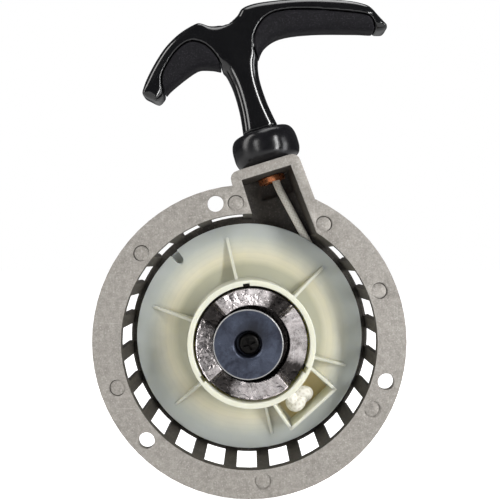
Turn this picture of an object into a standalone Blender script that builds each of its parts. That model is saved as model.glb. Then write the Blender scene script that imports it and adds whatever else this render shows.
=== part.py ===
# Recoil starter of a small two-stroke engine: a cast housing with a rope pulley, a face-toothed claw
# and a T handle on a rope.
# The crank axis is the world's Y axis. The flange's mounting face lies at y = 0 and faces -Y, towards
# the engine, and the housing's back points to +Y. Angles run in the XZ plane, from +X towards +Z.
# The handle's pieces hang on an empty whose Z axis is the pull line. Heights along it are called rises.

import math

import bmesh
import bpy
from mathutils import Vector

MM = 0.001
GAP = 0.3 * MM                      # between pieces that touch
RUNNING = 0.6 * MM                  # between pieces that turn past each other

# Housing
BOWL_RADIUS = 54.2 * MM             # inside of the round wall, at the flange
BOWL_DRAFT = 0.4 * MM
BOWL_WALL = 2.8 * MM
FLANGE_LAND = 9.9 * MM              # from the round wall's outside to the rim
FLANGE_THICK = 3.2 * MM
FLOOR_WALL = 2.6 * MM
BOLT_HOLE_RADIUS = 3.5 * MM
BOLT_INSET = 3.6 * MM               # bolt circle, outside the round wall
BOLT_ANGLES = (103.8, 223.8, 343.8)
VENT_PITCH = 15.0
VENT_WIDTH = 9.3
VENT_RIM = 0.4 * MM                 # left in front of and behind each vent
VENT_FLOOR_STEP = 0.7 * MM          # of floor left outside the bowl's radius behind each vent
WIDE_VENT_EXTRA = 6.1               # the vent next to the rope box opens further towards it
EJECTOR_RADIUS = 3.6 * MM
EJECTOR_DEPTH = 0.4 * MM
EJECTOR_SHARE = 0.27                # of the flange land, outside the round wall
EJECTOR_ANGLES = (21.5, 57.7, 95.5, 140.6, 199.2, 275.6, 331.4)
SPRING_WELL_RADIUS = 39.5 * MM
SPRING_WELL_DEPTH = 8.3 * MM
WELL_WALL = 2.6 * MM
BACK_BOSS_RADIUS = 12.0 * MM
BACK_BOSS_RISE = 1.5 * MM
POST_RADIUS = 9.0 * MM
POST_NECK_RADIUS = 6.5 * MM

# Rope box, on the pull line
PULL_TILT = 17.2                    # degrees, from +Z towards -X
PULL_OFFSET = 32.6 * MM             # from the crank axis to the pull line
BOX_RISE = 12.55 * MM               # inside of the top wall, above the bowl's radius
BOX_WALL = 4.35 * MM
BOX_LEFT = 15.4 * MM
BOX_RIGHT = 6.5 * MM
BOX_LEAN = 0.065                    # the right wall leans outwards by this much per unit of depth
BOX_DEEP_RISE = 9.5 * MM            # height of the deeper pocket behind the eyelet
BOX_CORNER = 4.0 * MM
BOX_MOUTH_SHARE = 0.66              # of the bowl's radius: how far down the box's inside is cut
BOX_ANGLE = 73.8                    # middle of the rope box, seen from the crank axis
BOX_BLIND_HALF = 8.0                # degrees either side of the rope box that have no vents
POCKET_CLEARANCE = 1.2 * MM         # behind the eyelet

# Rope and eyelet
ROPE_DIAMETER = 3.5 * MM
ROPE_SLACK = 0.45 * MM              # each side of the rope in a groove or a bore
ROPE_TURN_RADIUS = 43.8 * MM        # centre line of the outermost turn
EYELET_WALL = 1.2 * MM
EYELET_FLANGE = 1.4 * MM            # of the lips, outside the tube
EYELET_SHIFT = -1.6 * MM            # across, as the rope runs against the bore's right side
EYELET_LIP = 2.6 * MM
EYELET_RIM = 0.8 * MM

# Pulley
DISC_FRONT = 20.4 * MM
DISC_THICK = 1.4 * MM
DISC_CLEARANCE = 3.0 * MM           # between the pulley's rim and the bowl
DRUM_RADIUS = 34.0 * MM             # bottom of the rope groove
DRUM_WALL = 2.0 * MM
DRUM_POCKET = 4.2 * MM
SLEEVE_END = 1.0 * MM               # between the sleeve and the spring well's floor
HUB_FRONT = -8.3 * MM
HUB_RADIUS = 26.6 * MM
HUB_WALL = 2.3 * MM
HUB_FLOOR = 14.0 * MM
KEYWAY_DEPTH = 1.0 * MM
KEYWAY_WIDTH = 2.8 * MM
KEYWAY_ANGLES = (95.0, 215.0, 335.0)
SLEEVE_WALL = 6.0 * MM              # around the post, behind the drum
RIB_COUNT = 6
RIB_ANGLE = 43.0
RIB_THICK = 1.4 * MM
RIB_REACH = 19.4 * MM
RIB_RISE = 10.0 * MM
NOTCH_ANGLE = 132.5
NOTCH_WIDTH = 3.8 * MM
NOTCH_DEPTH = 5.8 * MM
KNOT_BOX_ANGLE = -48.0
KNOT_BOX_REACH = 15.2 * MM          # outside the hub
KNOT_BOX_INNER_HALF = 11.8 * MM
KNOT_BOX_OUTER_HALF = 13.4 * MM
KNOT_BOX_WALL = 1.4 * MM
KNOT_BOX_RISE = 12.4 * MM
KNOT_HALF = (5.6 * MM, 4.6 * MM, 6.8 * MM)      # along the radius, in depth, across
KNOT_SHIFT = -2.0 * MM              # across, from the middle of its box

# Claw and its springs
CLAW_CLEARANCE = 0.4 * MM
CLAW_BORE = 16.0 * MM
CLAW_SEAT_STEP = 1.2 * MM           # from the drag spring's ring to the seat's bore
CLAW_SEAT_THICK = 2.0 * MM
CLAW_BACK = 4.0 * MM
CLAW_RIM = 0.7 * MM                 # the teeth stand inside the ring's base by this much
CLAW_BASE_FRONT = -1.5 * MM
CLAW_LOW = -4.6 * MM
CLAW_HIGH = -7.8 * MM
TOOTH_COUNT = 4
TOOTH_PHASE = 46.0
TOOTH_LOW_SHARE = 0.18              # of one tooth's pitch
TOOTH_HIGH_SHARE = 0.14
CLAW_SPRING_STEP = 1.4 * MM         # from the seat's bore to the spring's centre line
CLAW_SPRING_WIRE = 0.9 * MM
CLAW_SPRING_TURNS = 3.5
DRAG_WIRE = 1.0 * MM
DRAG_START = 30.0
DRAG_SPRING_STEP = 0.6 * MM         # behind the claw
DRAG_SWEEP = 300.0
DRAG_LEG_REACH = 3.4 * MM
DRAG_LEG_FOOT = 0.3 * MM            # further out at the leg's bent end
DRAG_SLOT_STEP = 1.8 * MM           # from the leg to the outer end of its slot

# Cap, screw and what they hold
CAP_RADIUS = 14.6 * MM
CAP_THICK = 1.2 * MM
CAP_DISH_RADIUS = 5.6 * MM
CAP_DISH_DEPTH = 6.6 * MM
CAP_DISH_EDGE = 0.9 * MM
CAP_EDGE = 0.4 * MM
SCREW_RADIUS = 3.0 * MM
SCREW_HEAD_RADIUS = 4.5 * MM
SCREW_HEAD_HEIGHT = 3.0 * MM
SCREW_LENGTH = 11.0 * MM
SCREW_HEAD_EDGE = 1.2 * MM
SCREW_TIP_EDGE = 0.8 * MM
SCREW_SLOT_REACH = 2.565 * MM
SCREW_SLOT_WIDTH = 0.9 * MM
SCREW_SLOT_DEPTH = 1.6 * MM
SCREW_SLOT_ANGLE = 20.0
WASHER_THICK = 1.2 * MM
THRUST_RADIUS = 12.5 * MM

# Recoil spring
STRIP_THICK = 0.6 * MM
STRIP_WIDTH = 7.0 * MM
STRIP_TURNS = 5
STRIP_LIFT = 0.7 * MM               # behind the pulley's ledge

# Handle; rises are measured from the collar's foot
COLLAR_RADIUS = 15.3 * MM
COLLAR_HEIGHT = 15.2 * MM
SPIGOT_RADIUS = 6.0 * MM
STEM_FOOT_RADIUS = 8.4 * MM
STEM_RADIUS = 6.4 * MM
HANDLE_SPAN = 116.7 * MM
HANDLE_THICK = 14.0 * MM
HANDLE_ROUND = 4.0 * MM
COLLAR_FLOOR = 3.6 * MM
COLLAR_PROFILE = (                  # shares of the radius and of the height
    (0.8, 0.0), (0.92, 0.08), (0.99, 0.25), (1.0, 0.46),
    (0.985, 0.67), (0.93, 0.84), (0.83, 0.95), (0.66, 1.0),
)
STEM_HEAD = 50.0 * MM               # where the stem ends, inside the bar
STEM_FLARE = ((0.9, 0.2), (0.78, 0.5), (0.0, 1.0))     # shares of the foot's radius and of the rise
GRIP_DROP = 16.0 * MM               # from a grip's edge down past the bar's underside
BORE_TOP = 90.0 * MM                # above the bar
KNOT_POCKET_RADIUS = 5.3 * MM
KNOT_POCKET_RISE = 54.0 * MM
HANDLE_KNOT_HEIGHT = 7.0 * MM

# Outline of the handle's cross bar and its two grips, drawn in millimetres: along the bar from the
# pull line, then the rise. The bar's left arm is the shorter one.
DRAWN_SPAN = 116.7 * MM
BAR = (
    (-47.3, 48.0), (-44.2, 53.4), (-38.0, 60.2), (-31.0, 66.0), (-23.3, 70.1), (-15.6, 71.9),
    (-12.4, 71.1), (-8.2, 68.3), (-2.4, 67.3), (4.4, 68.7), (8.6, 72.0), (17.7, 72.2), (36.3, 68.2),
    (54.2, 61.7), (62.2, 57.6), (65.0, 54.9), (67.0, 50.4), (69.4, 44.2), (69.1, 42.4), (66.4, 42.0),
    (54.3, 46.3), (36.1, 51.8), (22.0, 54.2), (13.4, 52.1), (8.4, 46.6), (6.4, 40.4), (-6.4, 41.6),
    (-8.7, 46.9), (-15.5, 50.4), (-21.0, 50.7), (-33.7, 45.9), (-39.2, 42.0), (-41.3, 41.3), (-46.8, 46.2),
)
RIGHT_GRIP = (
    (8.7, 46.0), (8.5, 53.2), (10.9, 58.3), (15.2, 62.2), (20.3, 64.0), (27.6, 63.4), (37.9, 60.4),
    (50.3, 55.7), (60.4, 51.2), (62.9, 48.3), (63.1, 43.5),
)
LEFT_GRIP = (
    (-36.9, 43.5), (-35.7, 51.1), (-31.4, 56.3), (-25.3, 60.9), (-19.1, 62.8), (-14.2, 60.7),
    (-10.8, 56.4), (-8.9, 50.7), (-8.9, 46.0),
)

# Worked out from the values above
ROPE_RADIUS = ROPE_DIAMETER / 2
ROPE_BORE = ROPE_RADIUS + ROPE_SLACK
EYELET_BORE = ROPE_BORE + abs(EYELET_SHIFT)
EYELET_TUBE_RADIUS = EYELET_BORE + EYELET_WALL
EYELET_RADIUS = EYELET_TUBE_RADIUS + EYELET_FLANGE
BOWL_OUTER = BOWL_RADIUS + BOWL_WALL
FLANGE_RADIUS = BOWL_OUTER + FLANGE_LAND
BOLT_CIRCLE = BOWL_OUTER + BOLT_INSET
DISC_RADIUS = BOWL_RADIUS - DISC_CLEARANCE
GROOVE_FRONT = DISC_FRONT + DISC_THICK
GROOVE_BACK = GROOVE_FRONT + ROPE_DIAMETER + 2 * ROPE_SLACK
ROPE_DEPTH = (GROOVE_FRONT + GROOVE_BACK) / 2
DISC_BACK = GROOVE_BACK + DISC_THICK
LEDGE = DISC_BACK + RUNNING
WELL_FLOOR = LEDGE + SPRING_WELL_DEPTH
HOUSING_BACK = WELL_FLOOR + FLOOR_WALL
HUB_BORE = HUB_RADIUS - HUB_WALL
POST_FRONT = HUB_FRONT + CAP_DISH_DEPTH + CAP_THICK + GAP
CLAW_RADIUS = HUB_BORE - CLAW_CLEARANCE
DRAG_RADIUS = POST_RADIUS + GAP + DRAG_WIRE / 2
CLAW_SEAT_BORE = POST_RADIUS + GAP + DRAG_WIRE + CLAW_SEAT_STEP
CLAW_SPRING_RADIUS = CLAW_SEAT_BORE + CLAW_SPRING_STEP
DRAG_SLOT_END = DRAG_RADIUS + DRAG_LEG_REACH + DRAG_SLOT_STEP
SLEEVE_RADIUS = POST_RADIUS + GAP + SLEEVE_WALL
SLEEVE_BACK = WELL_FLOOR - SLEEVE_END
BOX_TOP = BOWL_RADIUS + BOX_RISE
SEAT = BOX_TOP + BOX_WALL + GAP + EYELET_RIM + GAP
COLLAR_TOP = SEAT + COLLAR_HEIGHT


def make_material(name, colour, roughness, metallic=0.0):
    material = bpy.data.materials.new(name)
    material.use_nodes = True
    shader = material.node_tree.nodes["Principled BSDF"]
    shader.inputs["Base Color"].default_value = (*colour, 1.0)
    shader.inputs["Roughness"].default_value = roughness
    shader.inputs["Metallic"].default_value = metallic
    return material


def polar(radius, degrees, depth=0.0):
    angle = math.radians(degrees)
    return Vector((radius * math.cos(angle), depth, radius * math.sin(angle)))


def finish_object(bm, name, material, parent=None, crease=35.0):
    bmesh.ops.remove_doubles(bm, verts=bm.verts, dist=1e-7)
    bmesh.ops.recalc_face_normals(bm, faces=bm.faces)
    mesh = bpy.data.meshes.new(name)
    bm.to_mesh(mesh)
    bm.free()
    mesh.materials.append(material)
    mesh.shade_smooth()
    mesh.set_sharp_from_angle(angle=math.radians(crease))
    piece = bpy.data.objects.new(name, mesh)
    bpy.context.collection.objects.link(piece)
    piece.parent = parent
    return piece


# Turns an outline of (radius, height) points about Y, or about Z. An outline that starts and ends on
# the axis stays open there; any other is closed into a ring.
def add_turned(bm, outline, sides, about="Y"):
    upright = about == "Z"
    verts = [bm.verts.new((r, 0, h) if upright else (r, h, 0)) for r, h in outline]
    edges = [bm.edges.new(pair) for pair in zip(verts, verts[1:])]
    if outline[0][0] > 0 or outline[-1][0] > 0:
        edges.append(bm.edges.new((verts[-1], verts[0])))
    bmesh.ops.spin(
        bm, geom=verts + edges, cent=(0, 0, 0), axis=(0, 0, 1) if upright else (0, 1, 0),
        angle=math.tau, steps=sides, use_merge=True,
    )
    bmesh.ops.remove_doubles(bm, verts=bm.verts, dist=1e-7)


def make_turned(name, outline, material, sides, about="Y", parent=None):
    bm = bmesh.new()
    add_turned(bm, outline, sides, about)
    return finish_object(bm, name, material, parent)


# Raises an outline of (x, z) points along Y, from one depth to another, and returns its rim edges.
def add_prism(bm, outline, low, high):
    verts = [bm.verts.new((x, low, z)) for x, z in outline]
    face = bm.faces.new(verts)
    raised = bmesh.ops.extrude_face_region(bm, geom=[face])["geom"]
    top = [item for item in raised if isinstance(item, bmesh.types.BMVert)]
    bmesh.ops.translate(bm, verts=top, vec=(0, high - low, 0))
    ends = [set(verts), set(top)]
    return [e for e in bm.edges if any(e.verts[0] in end and e.verts[1] in end for end in ends)]


def add_bar(bm, start, end, width, low, high):
    along = (end - start).normalized()
    side = Vector((-along.z, 0, along.x)) * (width / 2)
    corners = [start + side, start - side, end - side, end + side]
    add_prism(bm, [(c.x, c.z) for c in corners], low, high)


def add_peg(bm, centre, radius, low, high, sides=24):
    outline = [centre + polar(radius, 360.0 * k / sides) for k in range(sides)]
    add_prism(bm, [(p.x, p.z) for p in outline], low, high)


def make_cutter(bm, name, parent=None):
    bmesh.ops.recalc_face_normals(bm, faces=bm.faces)
    mesh = bpy.data.meshes.new(name)
    bm.to_mesh(mesh)
    bm.free()
    cutter = bpy.data.objects.new(name, mesh)
    bpy.context.collection.objects.link(cutter)
    cutter.hide_render = True
    cutter.display_type = "WIRE"
    cutter.parent = parent
    return cutter


def combine(piece, cutter, operation):
    modifier = piece.modifiers.new(operation.title() + " " + cutter.name, "BOOLEAN")
    modifier.operation = operation
    modifier.solver = "EXACT"
    modifier.object = cutter


def make_tube(name, points, radius, material, parent=None, resolution=2):
    curve = bpy.data.curves.new(name, "CURVE")
    curve.dimensions = "3D"
    curve.bevel_depth = radius
    curve.bevel_resolution = resolution
    curve.use_fill_caps = True
    spline = curve.splines.new("POLY")
    spline.points.add(len(points) - 1)
    for point, place in zip(spline.points, points):
        point.co = (*place, 1.0)
    curve.materials.append(material)
    piece = bpy.data.objects.new(name, curve)
    bpy.context.collection.objects.link(piece)
    piece.parent = parent
    return piece


# A smooth curve through the given points, with some extra points between each pair.
def smoothed(points, extra=1, closed=True):
    count = len(points)
    path = []
    for i in range(count if closed else count - 1):
        near = [(i + k) % count if closed else min(max(i + k, 0), count - 1) for k in (-1, 0, 1, 2)]
        a, b, c, d = (Vector(points[k]) for k in near)
        for step in range(extra + 1):
            t = step / (extra + 1)
            path.append(0.5 * (2 * b + (c - a) * t + (2 * a - 5 * b + 4 * c - d) * t * t
                               + (3 * b - a - 3 * c + d) * t ** 3))
    if not closed:
        path.append(Vector(points[-1]))
    return path


# Moves each side of a convex-enough outline outwards by a distance.
def grown(outline, distance):
    count = len(outline)
    area = sum(outline[i].cross(outline[(i + 1) % count]) for i in range(count))
    sign = 1.0 if area > 0 else -1.0
    moved = []
    for i in range(count):
        before = (outline[i] - outline[i - 1]).normalized()
        after = (outline[(i + 1) % count] - outline[i]).normalized()
        normals = [Vector((t.y, -t.x)) * sign for t in (before, after)]
        mitre = (normals[0] + normals[1]).normalized()
        moved.append(outline[i] + mitre * (distance / max(0.4, mitre.dot(normals[0]))))
    return moved


def rounded_corner(corner, before, after, radius, steps=4):
    to_before = (before - corner).normalized()
    to_after = (after - corner).normalized()
    half = to_before.angle(to_after) / 2
    reach = radius / math.tan(half)
    start = corner + to_before * reach
    end = corner + to_after * reach
    points = []
    for k in range(steps + 1):
        t = k / steps
        points.append((1 - t) ** 2 * start + 2 * t * (1 - t) * corner + t * t * end)
    return points


# The pull line: Z along it, X across it, Y in depth from the rope's own plane.
def make_pull_line():
    line = bpy.data.objects.new("pull_line", None)
    bpy.context.collection.objects.link(line)
    line.rotation_euler = (0, -math.radians(PULL_TILT), 0)
    line.location = polar(PULL_OFFSET, PULL_TILT, ROPE_DEPTH)
    return line


def pull_point(across, rise, depth=ROPE_DEPTH):
    return polar(PULL_OFFSET + across, PULL_TILT, depth) + polar(rise, PULL_TILT + 90.0)


# Where the leaning right wall, moved out by a thickness, crosses a circle about the crank axis.
def right_wall_foot(radius, thickness):
    rise = BOX_TOP
    for _ in range(30):
        across = box_side(rise) + thickness
        rise = math.sqrt(radius ** 2 - (PULL_OFFSET + across) ** 2)
    return Vector((across, rise))


# Points along the circle about the crank axis, from one point on it to another.
def foot_arc(start, end, steps):
    angles = [math.atan2(p.y, p.x + PULL_OFFSET) for p in (start, end)]
    radius = math.hypot(start.x + PULL_OFFSET, start.y)
    arc = []
    for k in range(steps + 1):
        angle = angles[0] + (angles[1] - angles[0]) * k / steps
        arc.append(Vector((radius * math.cos(angle) - PULL_OFFSET, radius * math.sin(angle))))
    return arc


# Points given as (across, rise) on the pull line, as (x, z) pairs in the world.
def pull_outline(points):
    placed = [pull_point(across, rise) for across, rise in points]
    return [(p.x, p.z) for p in placed]


def box_side(rise):
    return BOX_RIGHT + (BOX_TOP - rise) * BOX_LEAN


def make_housing(metal):
    front = POST_FRONT
    screw_bore = SCREW_RADIUS + GAP
    screw_end = front + SCREW_LENGTH
    well_outer = SPRING_WELL_RADIUS + WELL_WALL
    bowl_back = LEDGE + FLOOR_WALL
    outline = [
        (0, screw_end), (screw_bore, screw_end), (screw_bore, front), (POST_NECK_RADIUS, front),
        (POST_NECK_RADIUS, HUB_FLOOR), (POST_RADIUS, HUB_FLOOR), (POST_RADIUS, WELL_FLOOR),
        (SPRING_WELL_RADIUS, WELL_FLOOR), (SPRING_WELL_RADIUS, LEDGE),
        (BOWL_RADIUS - BOWL_DRAFT, LEDGE), (BOWL_RADIUS + BOWL_DRAFT, 0), (FLANGE_RADIUS, 0),
        (FLANGE_RADIUS, FLANGE_THICK), (BOWL_OUTER, FLANGE_THICK), (BOWL_OUTER - BOWL_DRAFT, bowl_back),
        (well_outer, bowl_back), (well_outer, HOUSING_BACK), (BACK_BOSS_RADIUS, HOUSING_BACK),
        (BACK_BOSS_RADIUS - MM, HOUSING_BACK + BACK_BOSS_RISE), (0, HOUSING_BACK + BACK_BOSS_RISE),
    ]
    housing = make_turned("housing", outline, metal, 72)

    # Rope box
    middle = BOWL_RADIUS + BOWL_WALL / 2
    left = -BOX_LEFT - BOX_WALL
    top = BOX_TOP + BOX_WALL
    corner = Vector((box_side(BOX_TOP) + BOX_WALL, top))
    right_foot = right_wall_foot(middle, BOX_WALL)
    left_foot = Vector((left, math.sqrt(middle ** 2 - (PULL_OFFSET + left) ** 2)))
    left_top = Vector((left, top))
    outer = rounded_corner(corner, left_top, right_foot, BOX_CORNER)
    outer += foot_arc(right_foot, left_foot, 6)
    outer += rounded_corner(left_top, left_foot, corner, BOX_CORNER)
    shell = bmesh.new()
    add_prism(shell, pull_outline(outer), 0.0, bowl_back)
    combine(housing, make_cutter(shell, "rope_box"), "UNION")

    # The deeper pocket behind the eyelet
    deep_floor = ROPE_DEPTH + EYELET_RADIUS + POCKET_CLEARANCE
    deep_foot = BOX_TOP - BOX_DEEP_RISE
    boss = bmesh.new()
    boss_left = EYELET_SHIFT - EYELET_RADIUS - BOX_WALL
    boss_right = box_side(BOX_TOP) + BOX_WALL - BOX_CORNER / 2
    boss_foot = deep_foot - FLOOR_WALL
    boss_top = top - 0.5 * MM
    boss_outline = [
        (boss_left, boss_foot), (boss_right, boss_foot), (boss_right, boss_top), (boss_left, boss_top),
    ]
    add_prism(boss, pull_outline(boss_outline), ROPE_DEPTH, deep_floor + FLOOR_WALL)
    combine(housing, make_cutter(boss, "pocket_boss"), "UNION")

    step = 0.1 * MM
    inner = bmesh.new()
    low = BOWL_RADIUS * BOX_MOUTH_SHARE
    inner_outline = [
        (-BOX_LEFT, BOX_TOP), (-BOX_LEFT, low), (box_side(low), low), (box_side(BOX_TOP), BOX_TOP),
    ]
    add_prism(inner, pull_outline(inner_outline), -MM, LEDGE - step)
    combine(housing, make_cutter(inner, "box_inside"), "DIFFERENCE")

    pocket = bmesh.new()
    pocket_outline = [
        (EYELET_SHIFT - EYELET_RADIUS - GAP, BOX_TOP - step), (EYELET_SHIFT - EYELET_RADIUS - GAP, deep_foot),
        (box_side(deep_foot) - step, deep_foot), (box_side(BOX_TOP) - step, BOX_TOP - step),
    ]
    add_prism(pocket, pull_outline(pocket_outline), LEDGE - MM, deep_floor)
    combine(housing, make_cutter(pocket, "eyelet_pocket"), "DIFFERENCE")

    eyelet_hole = bmesh.new()
    hole_radius = EYELET_TUBE_RADIUS + GAP
    hole_outline = [
        (0, BOX_TOP - 2 * MM), (hole_radius, BOX_TOP - 2 * MM),
        (hole_radius, top + 2 * MM), (0, top + 2 * MM),
    ]
    add_turned(eyelet_hole, hole_outline, 32, "Z")
    bmesh.ops.translate(eyelet_hole, verts=eyelet_hole.verts, vec=(EYELET_SHIFT, 0, 0))
    combine(housing, make_cutter(eyelet_hole, "eyelet_hole", PULL_LINE), "DIFFERENCE")

    cuts = bmesh.new()
    first = BOLT_ANGLES[0]
    for k in range(int(360 / VENT_PITCH)):
        centre = first + k * VENT_PITCH
        away = abs((centre - BOX_ANGLE + 180.0) % 360.0 - 180.0)
        if away > VENT_PITCH + BOX_BLIND_HALF:
            extra = WIDE_VENT_EXTRA if k == 0 else 0.0
            add_vent(cuts, centre - VENT_WIDTH / 2 - extra, centre + VENT_WIDTH / 2)
    combine(housing, make_cutter(cuts, "vents"), "DIFFERENCE")

    holes = bmesh.new()
    for angle in BOLT_ANGLES:
        add_peg(holes, polar(BOLT_CIRCLE, angle), BOLT_HOLE_RADIUS, -MM, FLANGE_THICK + MM, 28)
    for angle in EJECTOR_ANGLES:
        mark = polar(BOWL_OUTER + FLANGE_LAND * EJECTOR_SHARE, angle)
        add_peg(holes, mark, EJECTOR_RADIUS, -MM, EJECTOR_DEPTH, 14)
    combine(housing, make_cutter(holes, "flange_holes"), "DIFFERENCE")
    return housing


# One vent: a wedge through the round wall, from behind the flange and out at the back.
def add_vent(bm, start, end):
    inner = BOWL_RADIUS - 3 * MM
    outer = BOWL_OUTER + 2 * MM
    floor_edge = BOWL_RADIUS + VENT_FLOOR_STEP
    low = FLANGE_THICK + VENT_RIM
    high = LEDGE - VENT_RIM
    far = LEDGE + FLOOR_WALL + MM
    section = [(inner, low), (outer, low), (outer, far), (floor_edge, far), (floor_edge, high), (inner, high)]
    steps = 3
    rows = []
    for k in range(steps + 1):
        angle = start + (end - start) * k / steps
        rows.append([bm.verts.new(polar(radius, angle, depth)) for radius, depth in section])
    for row, after in zip(rows, rows[1:]):
        for i in range(len(section)):
            j = (i + 1) % len(section)
            bm.faces.new([row[i], row[j], after[j], after[i]])
    bm.faces.new(rows[0])
    bm.faces.new(list(reversed(rows[-1])))


def make_eyelet(copper):
    bore = EYELET_BORE
    top = BOX_TOP + BOX_WALL
    outline = [
        (bore, BOX_TOP - GAP - EYELET_LIP * 0.5), (bore + MM, BOX_TOP - GAP - EYELET_LIP),
        (EYELET_RADIUS - 0.5 * MM, BOX_TOP - GAP - EYELET_LIP), (EYELET_RADIUS, BOX_TOP - GAP),
        (EYELET_TUBE_RADIUS, BOX_TOP - GAP), (EYELET_TUBE_RADIUS, top + GAP),
        (EYELET_RADIUS, top + GAP), (EYELET_RADIUS, top + GAP + EYELET_RIM),
        (bore + 0.6 * MM, top + GAP + EYELET_RIM), (bore, top),
    ]
    bm = bmesh.new()
    add_turned(bm, outline, 24, "Z")
    bmesh.ops.translate(bm, verts=bm.verts, vec=(EYELET_SHIFT, 0, 0))
    return finish_object(bm, "rope_eyelet", copper, PULL_LINE)


def make_pulley(nylon):
    bore = POST_RADIUS + GAP
    pocket_inner = SLEEVE_RADIUS
    pocket_outer = DRUM_RADIUS - DRUM_WALL
    outline = [
        (bore, HUB_FLOOR), (HUB_BORE, HUB_FLOOR), (HUB_BORE, HUB_FRONT), (HUB_RADIUS, HUB_FRONT),
        (HUB_RADIUS, DISC_FRONT), (DISC_RADIUS, DISC_FRONT), (DISC_RADIUS, GROOVE_FRONT),
        (DRUM_RADIUS, GROOVE_FRONT), (DRUM_RADIUS, GROOVE_BACK), (DISC_RADIUS, GROOVE_BACK),
        (DISC_RADIUS, DISC_BACK), (pocket_outer, DISC_BACK), (pocket_outer, DISC_BACK - DRUM_POCKET),
        (pocket_inner, DISC_BACK - DRUM_POCKET), (pocket_inner, SLEEVE_BACK), (bore, SLEEVE_BACK),
    ]
    pulley = make_turned("pulley", outline, nylon, 72)

    ribs = bmesh.new()
    sunk = MM
    for k in range(RIB_COUNT):
        angle = RIB_ANGLE + 360.0 * k / RIB_COUNT
        out = polar(1.0, angle)
        side = Vector((-out.z, 0, out.x)) * (RIB_THICK / 2)
        inner = HUB_RADIUS - sunk
        outline = [
            out * inner + Vector((0, DISC_FRONT + sunk, 0)),
            out * (HUB_RADIUS + RIB_REACH) + Vector((0, DISC_FRONT + sunk, 0)),
            out * (HUB_RADIUS + RIB_REACH) + Vector((0, DISC_FRONT - sunk, 0)),
            out * inner + Vector((0, DISC_FRONT - RIB_RISE, 0)),
        ]
        face = ribs.faces.new([ribs.verts.new(p - side) for p in outline])
        raised = bmesh.ops.extrude_face_region(ribs, geom=[face])["geom"]
        far = [item for item in raised if isinstance(item, bmesh.types.BMVert)]
        bmesh.ops.translate(ribs, verts=far, vec=side * 2)
    combine(pulley, make_cutter(ribs, "ribs"), "UNION")

    # A box for the rope's knot: two side walls and an outer wall, open to the front
    out = polar(1.0, KNOT_BOX_ANGLE)
    across = polar(1.0, KNOT_BOX_ANGLE + 90.0)
    inner = HUB_RADIUS - sunk - 1.0 * MM
    outer = HUB_RADIUS + KNOT_BOX_REACH
    wall = KNOT_BOX_WALL
    half_in = KNOT_BOX_INNER_HALF
    half_out = KNOT_BOX_OUTER_HALF
    walls = bmesh.new()
    path = [
        out * inner - across * half_in, out * outer - across * half_out,
        out * outer + across * half_out, out * inner + across * half_in,
        out * inner + across * (half_in - wall), out * (outer - wall) + across * (half_out - wall),
        out * (outer - wall) - across * (half_out - wall), out * inner - across * (half_in - wall),
    ]
    add_prism(walls, [(p.x, p.z) for p in path], DISC_FRONT - KNOT_BOX_RISE, DISC_FRONT + sunk * 0.8)
    combine(pulley, make_cutter(walls, "knot_box"), "UNION")

    cuts = bmesh.new()
    rim = DISC_RADIUS - NOTCH_DEPTH + NOTCH_WIDTH / 2
    add_bar(cuts, polar(rim, NOTCH_ANGLE), polar(DISC_RADIUS + MM, NOTCH_ANGLE), NOTCH_WIDTH,
            DISC_FRONT - MM, GROOVE_FRONT + MM)
    for angle in KEYWAY_ANGLES:
        add_bar(cuts, polar(HUB_BORE - 2 * MM, angle), polar(HUB_BORE + KEYWAY_DEPTH, angle),
                KEYWAY_WIDTH, HUB_FRONT - MM, HUB_FLOOR - 3 * MM)
    combine(pulley, make_cutter(cuts, "pulley_cuts"), "DIFFERENCE")

    ends = bmesh.new()
    add_peg(ends, polar(rim, NOTCH_ANGLE), NOTCH_WIDTH / 2 * 1.02, DISC_FRONT - MM, GROOVE_FRONT + MM, 20)
    knot_hole = polar(knot_radius(), KNOT_BOX_ANGLE)
    add_peg(ends, knot_hole, ROPE_BORE, DISC_FRONT - MM, GROOVE_FRONT + MM, 20)
    combine(pulley, make_cutter(ends, "rope_holes"), "DIFFERENCE")
    return pulley


def knot_radius():
    return HUB_RADIUS + (KNOT_BOX_REACH - KNOT_BOX_WALL) / 2


def make_rope(fibre):
    inner = DRUM_RADIUS + GAP
    outer = ROPE_TURN_RADIUS - ROPE_RADIUS - GAP
    low = ROPE_DEPTH - ROPE_RADIUS
    high = ROPE_DEPTH + ROPE_RADIUS
    edge = 0.8 * MM
    outline = [
        (inner, low), (outer - edge, low), (outer, low + edge), (outer, high - edge),
        (outer - edge, high), (inner, high),
    ]
    make_turned("rope_wound", outline, fibre, 48)

    # From the tangent on the outermost turn to the eyelet, then a short way along the pull line
    mouth = pull_point(0.0, BOX_TOP - EYELET_LIP - 1.5 * MM)
    reach = math.hypot(mouth.x, mouth.z)
    mouth_angle = math.degrees(math.atan2(mouth.z, mouth.x))
    tangent_angle = mouth_angle - math.degrees(math.acos(ROPE_TURN_RADIUS / reach))
    start = polar(ROPE_TURN_RADIUS, tangent_angle, ROPE_DEPTH)
    steps = 8
    points = [start.lerp(mouth, k / steps) for k in range(steps + 1)]
    points += [pull_point(0.0, BOX_TOP), pull_point(0.0, BOX_TOP + BOX_WALL / 2)]
    make_tube("rope_lead", points, ROPE_RADIUS, fibre)

    foot = BOX_TOP + BOX_WALL / 2 + GAP
    top = SEAT + KNOT_POCKET_RISE + GAP + WASHER_THICK
    count = 9
    rises = [foot + (top - foot) * k / count for k in range(count + 1)]
    make_tube("rope_stem", [(0, 0, rise) for rise in rises], ROPE_RADIUS, fibre, PULL_LINE)


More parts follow.
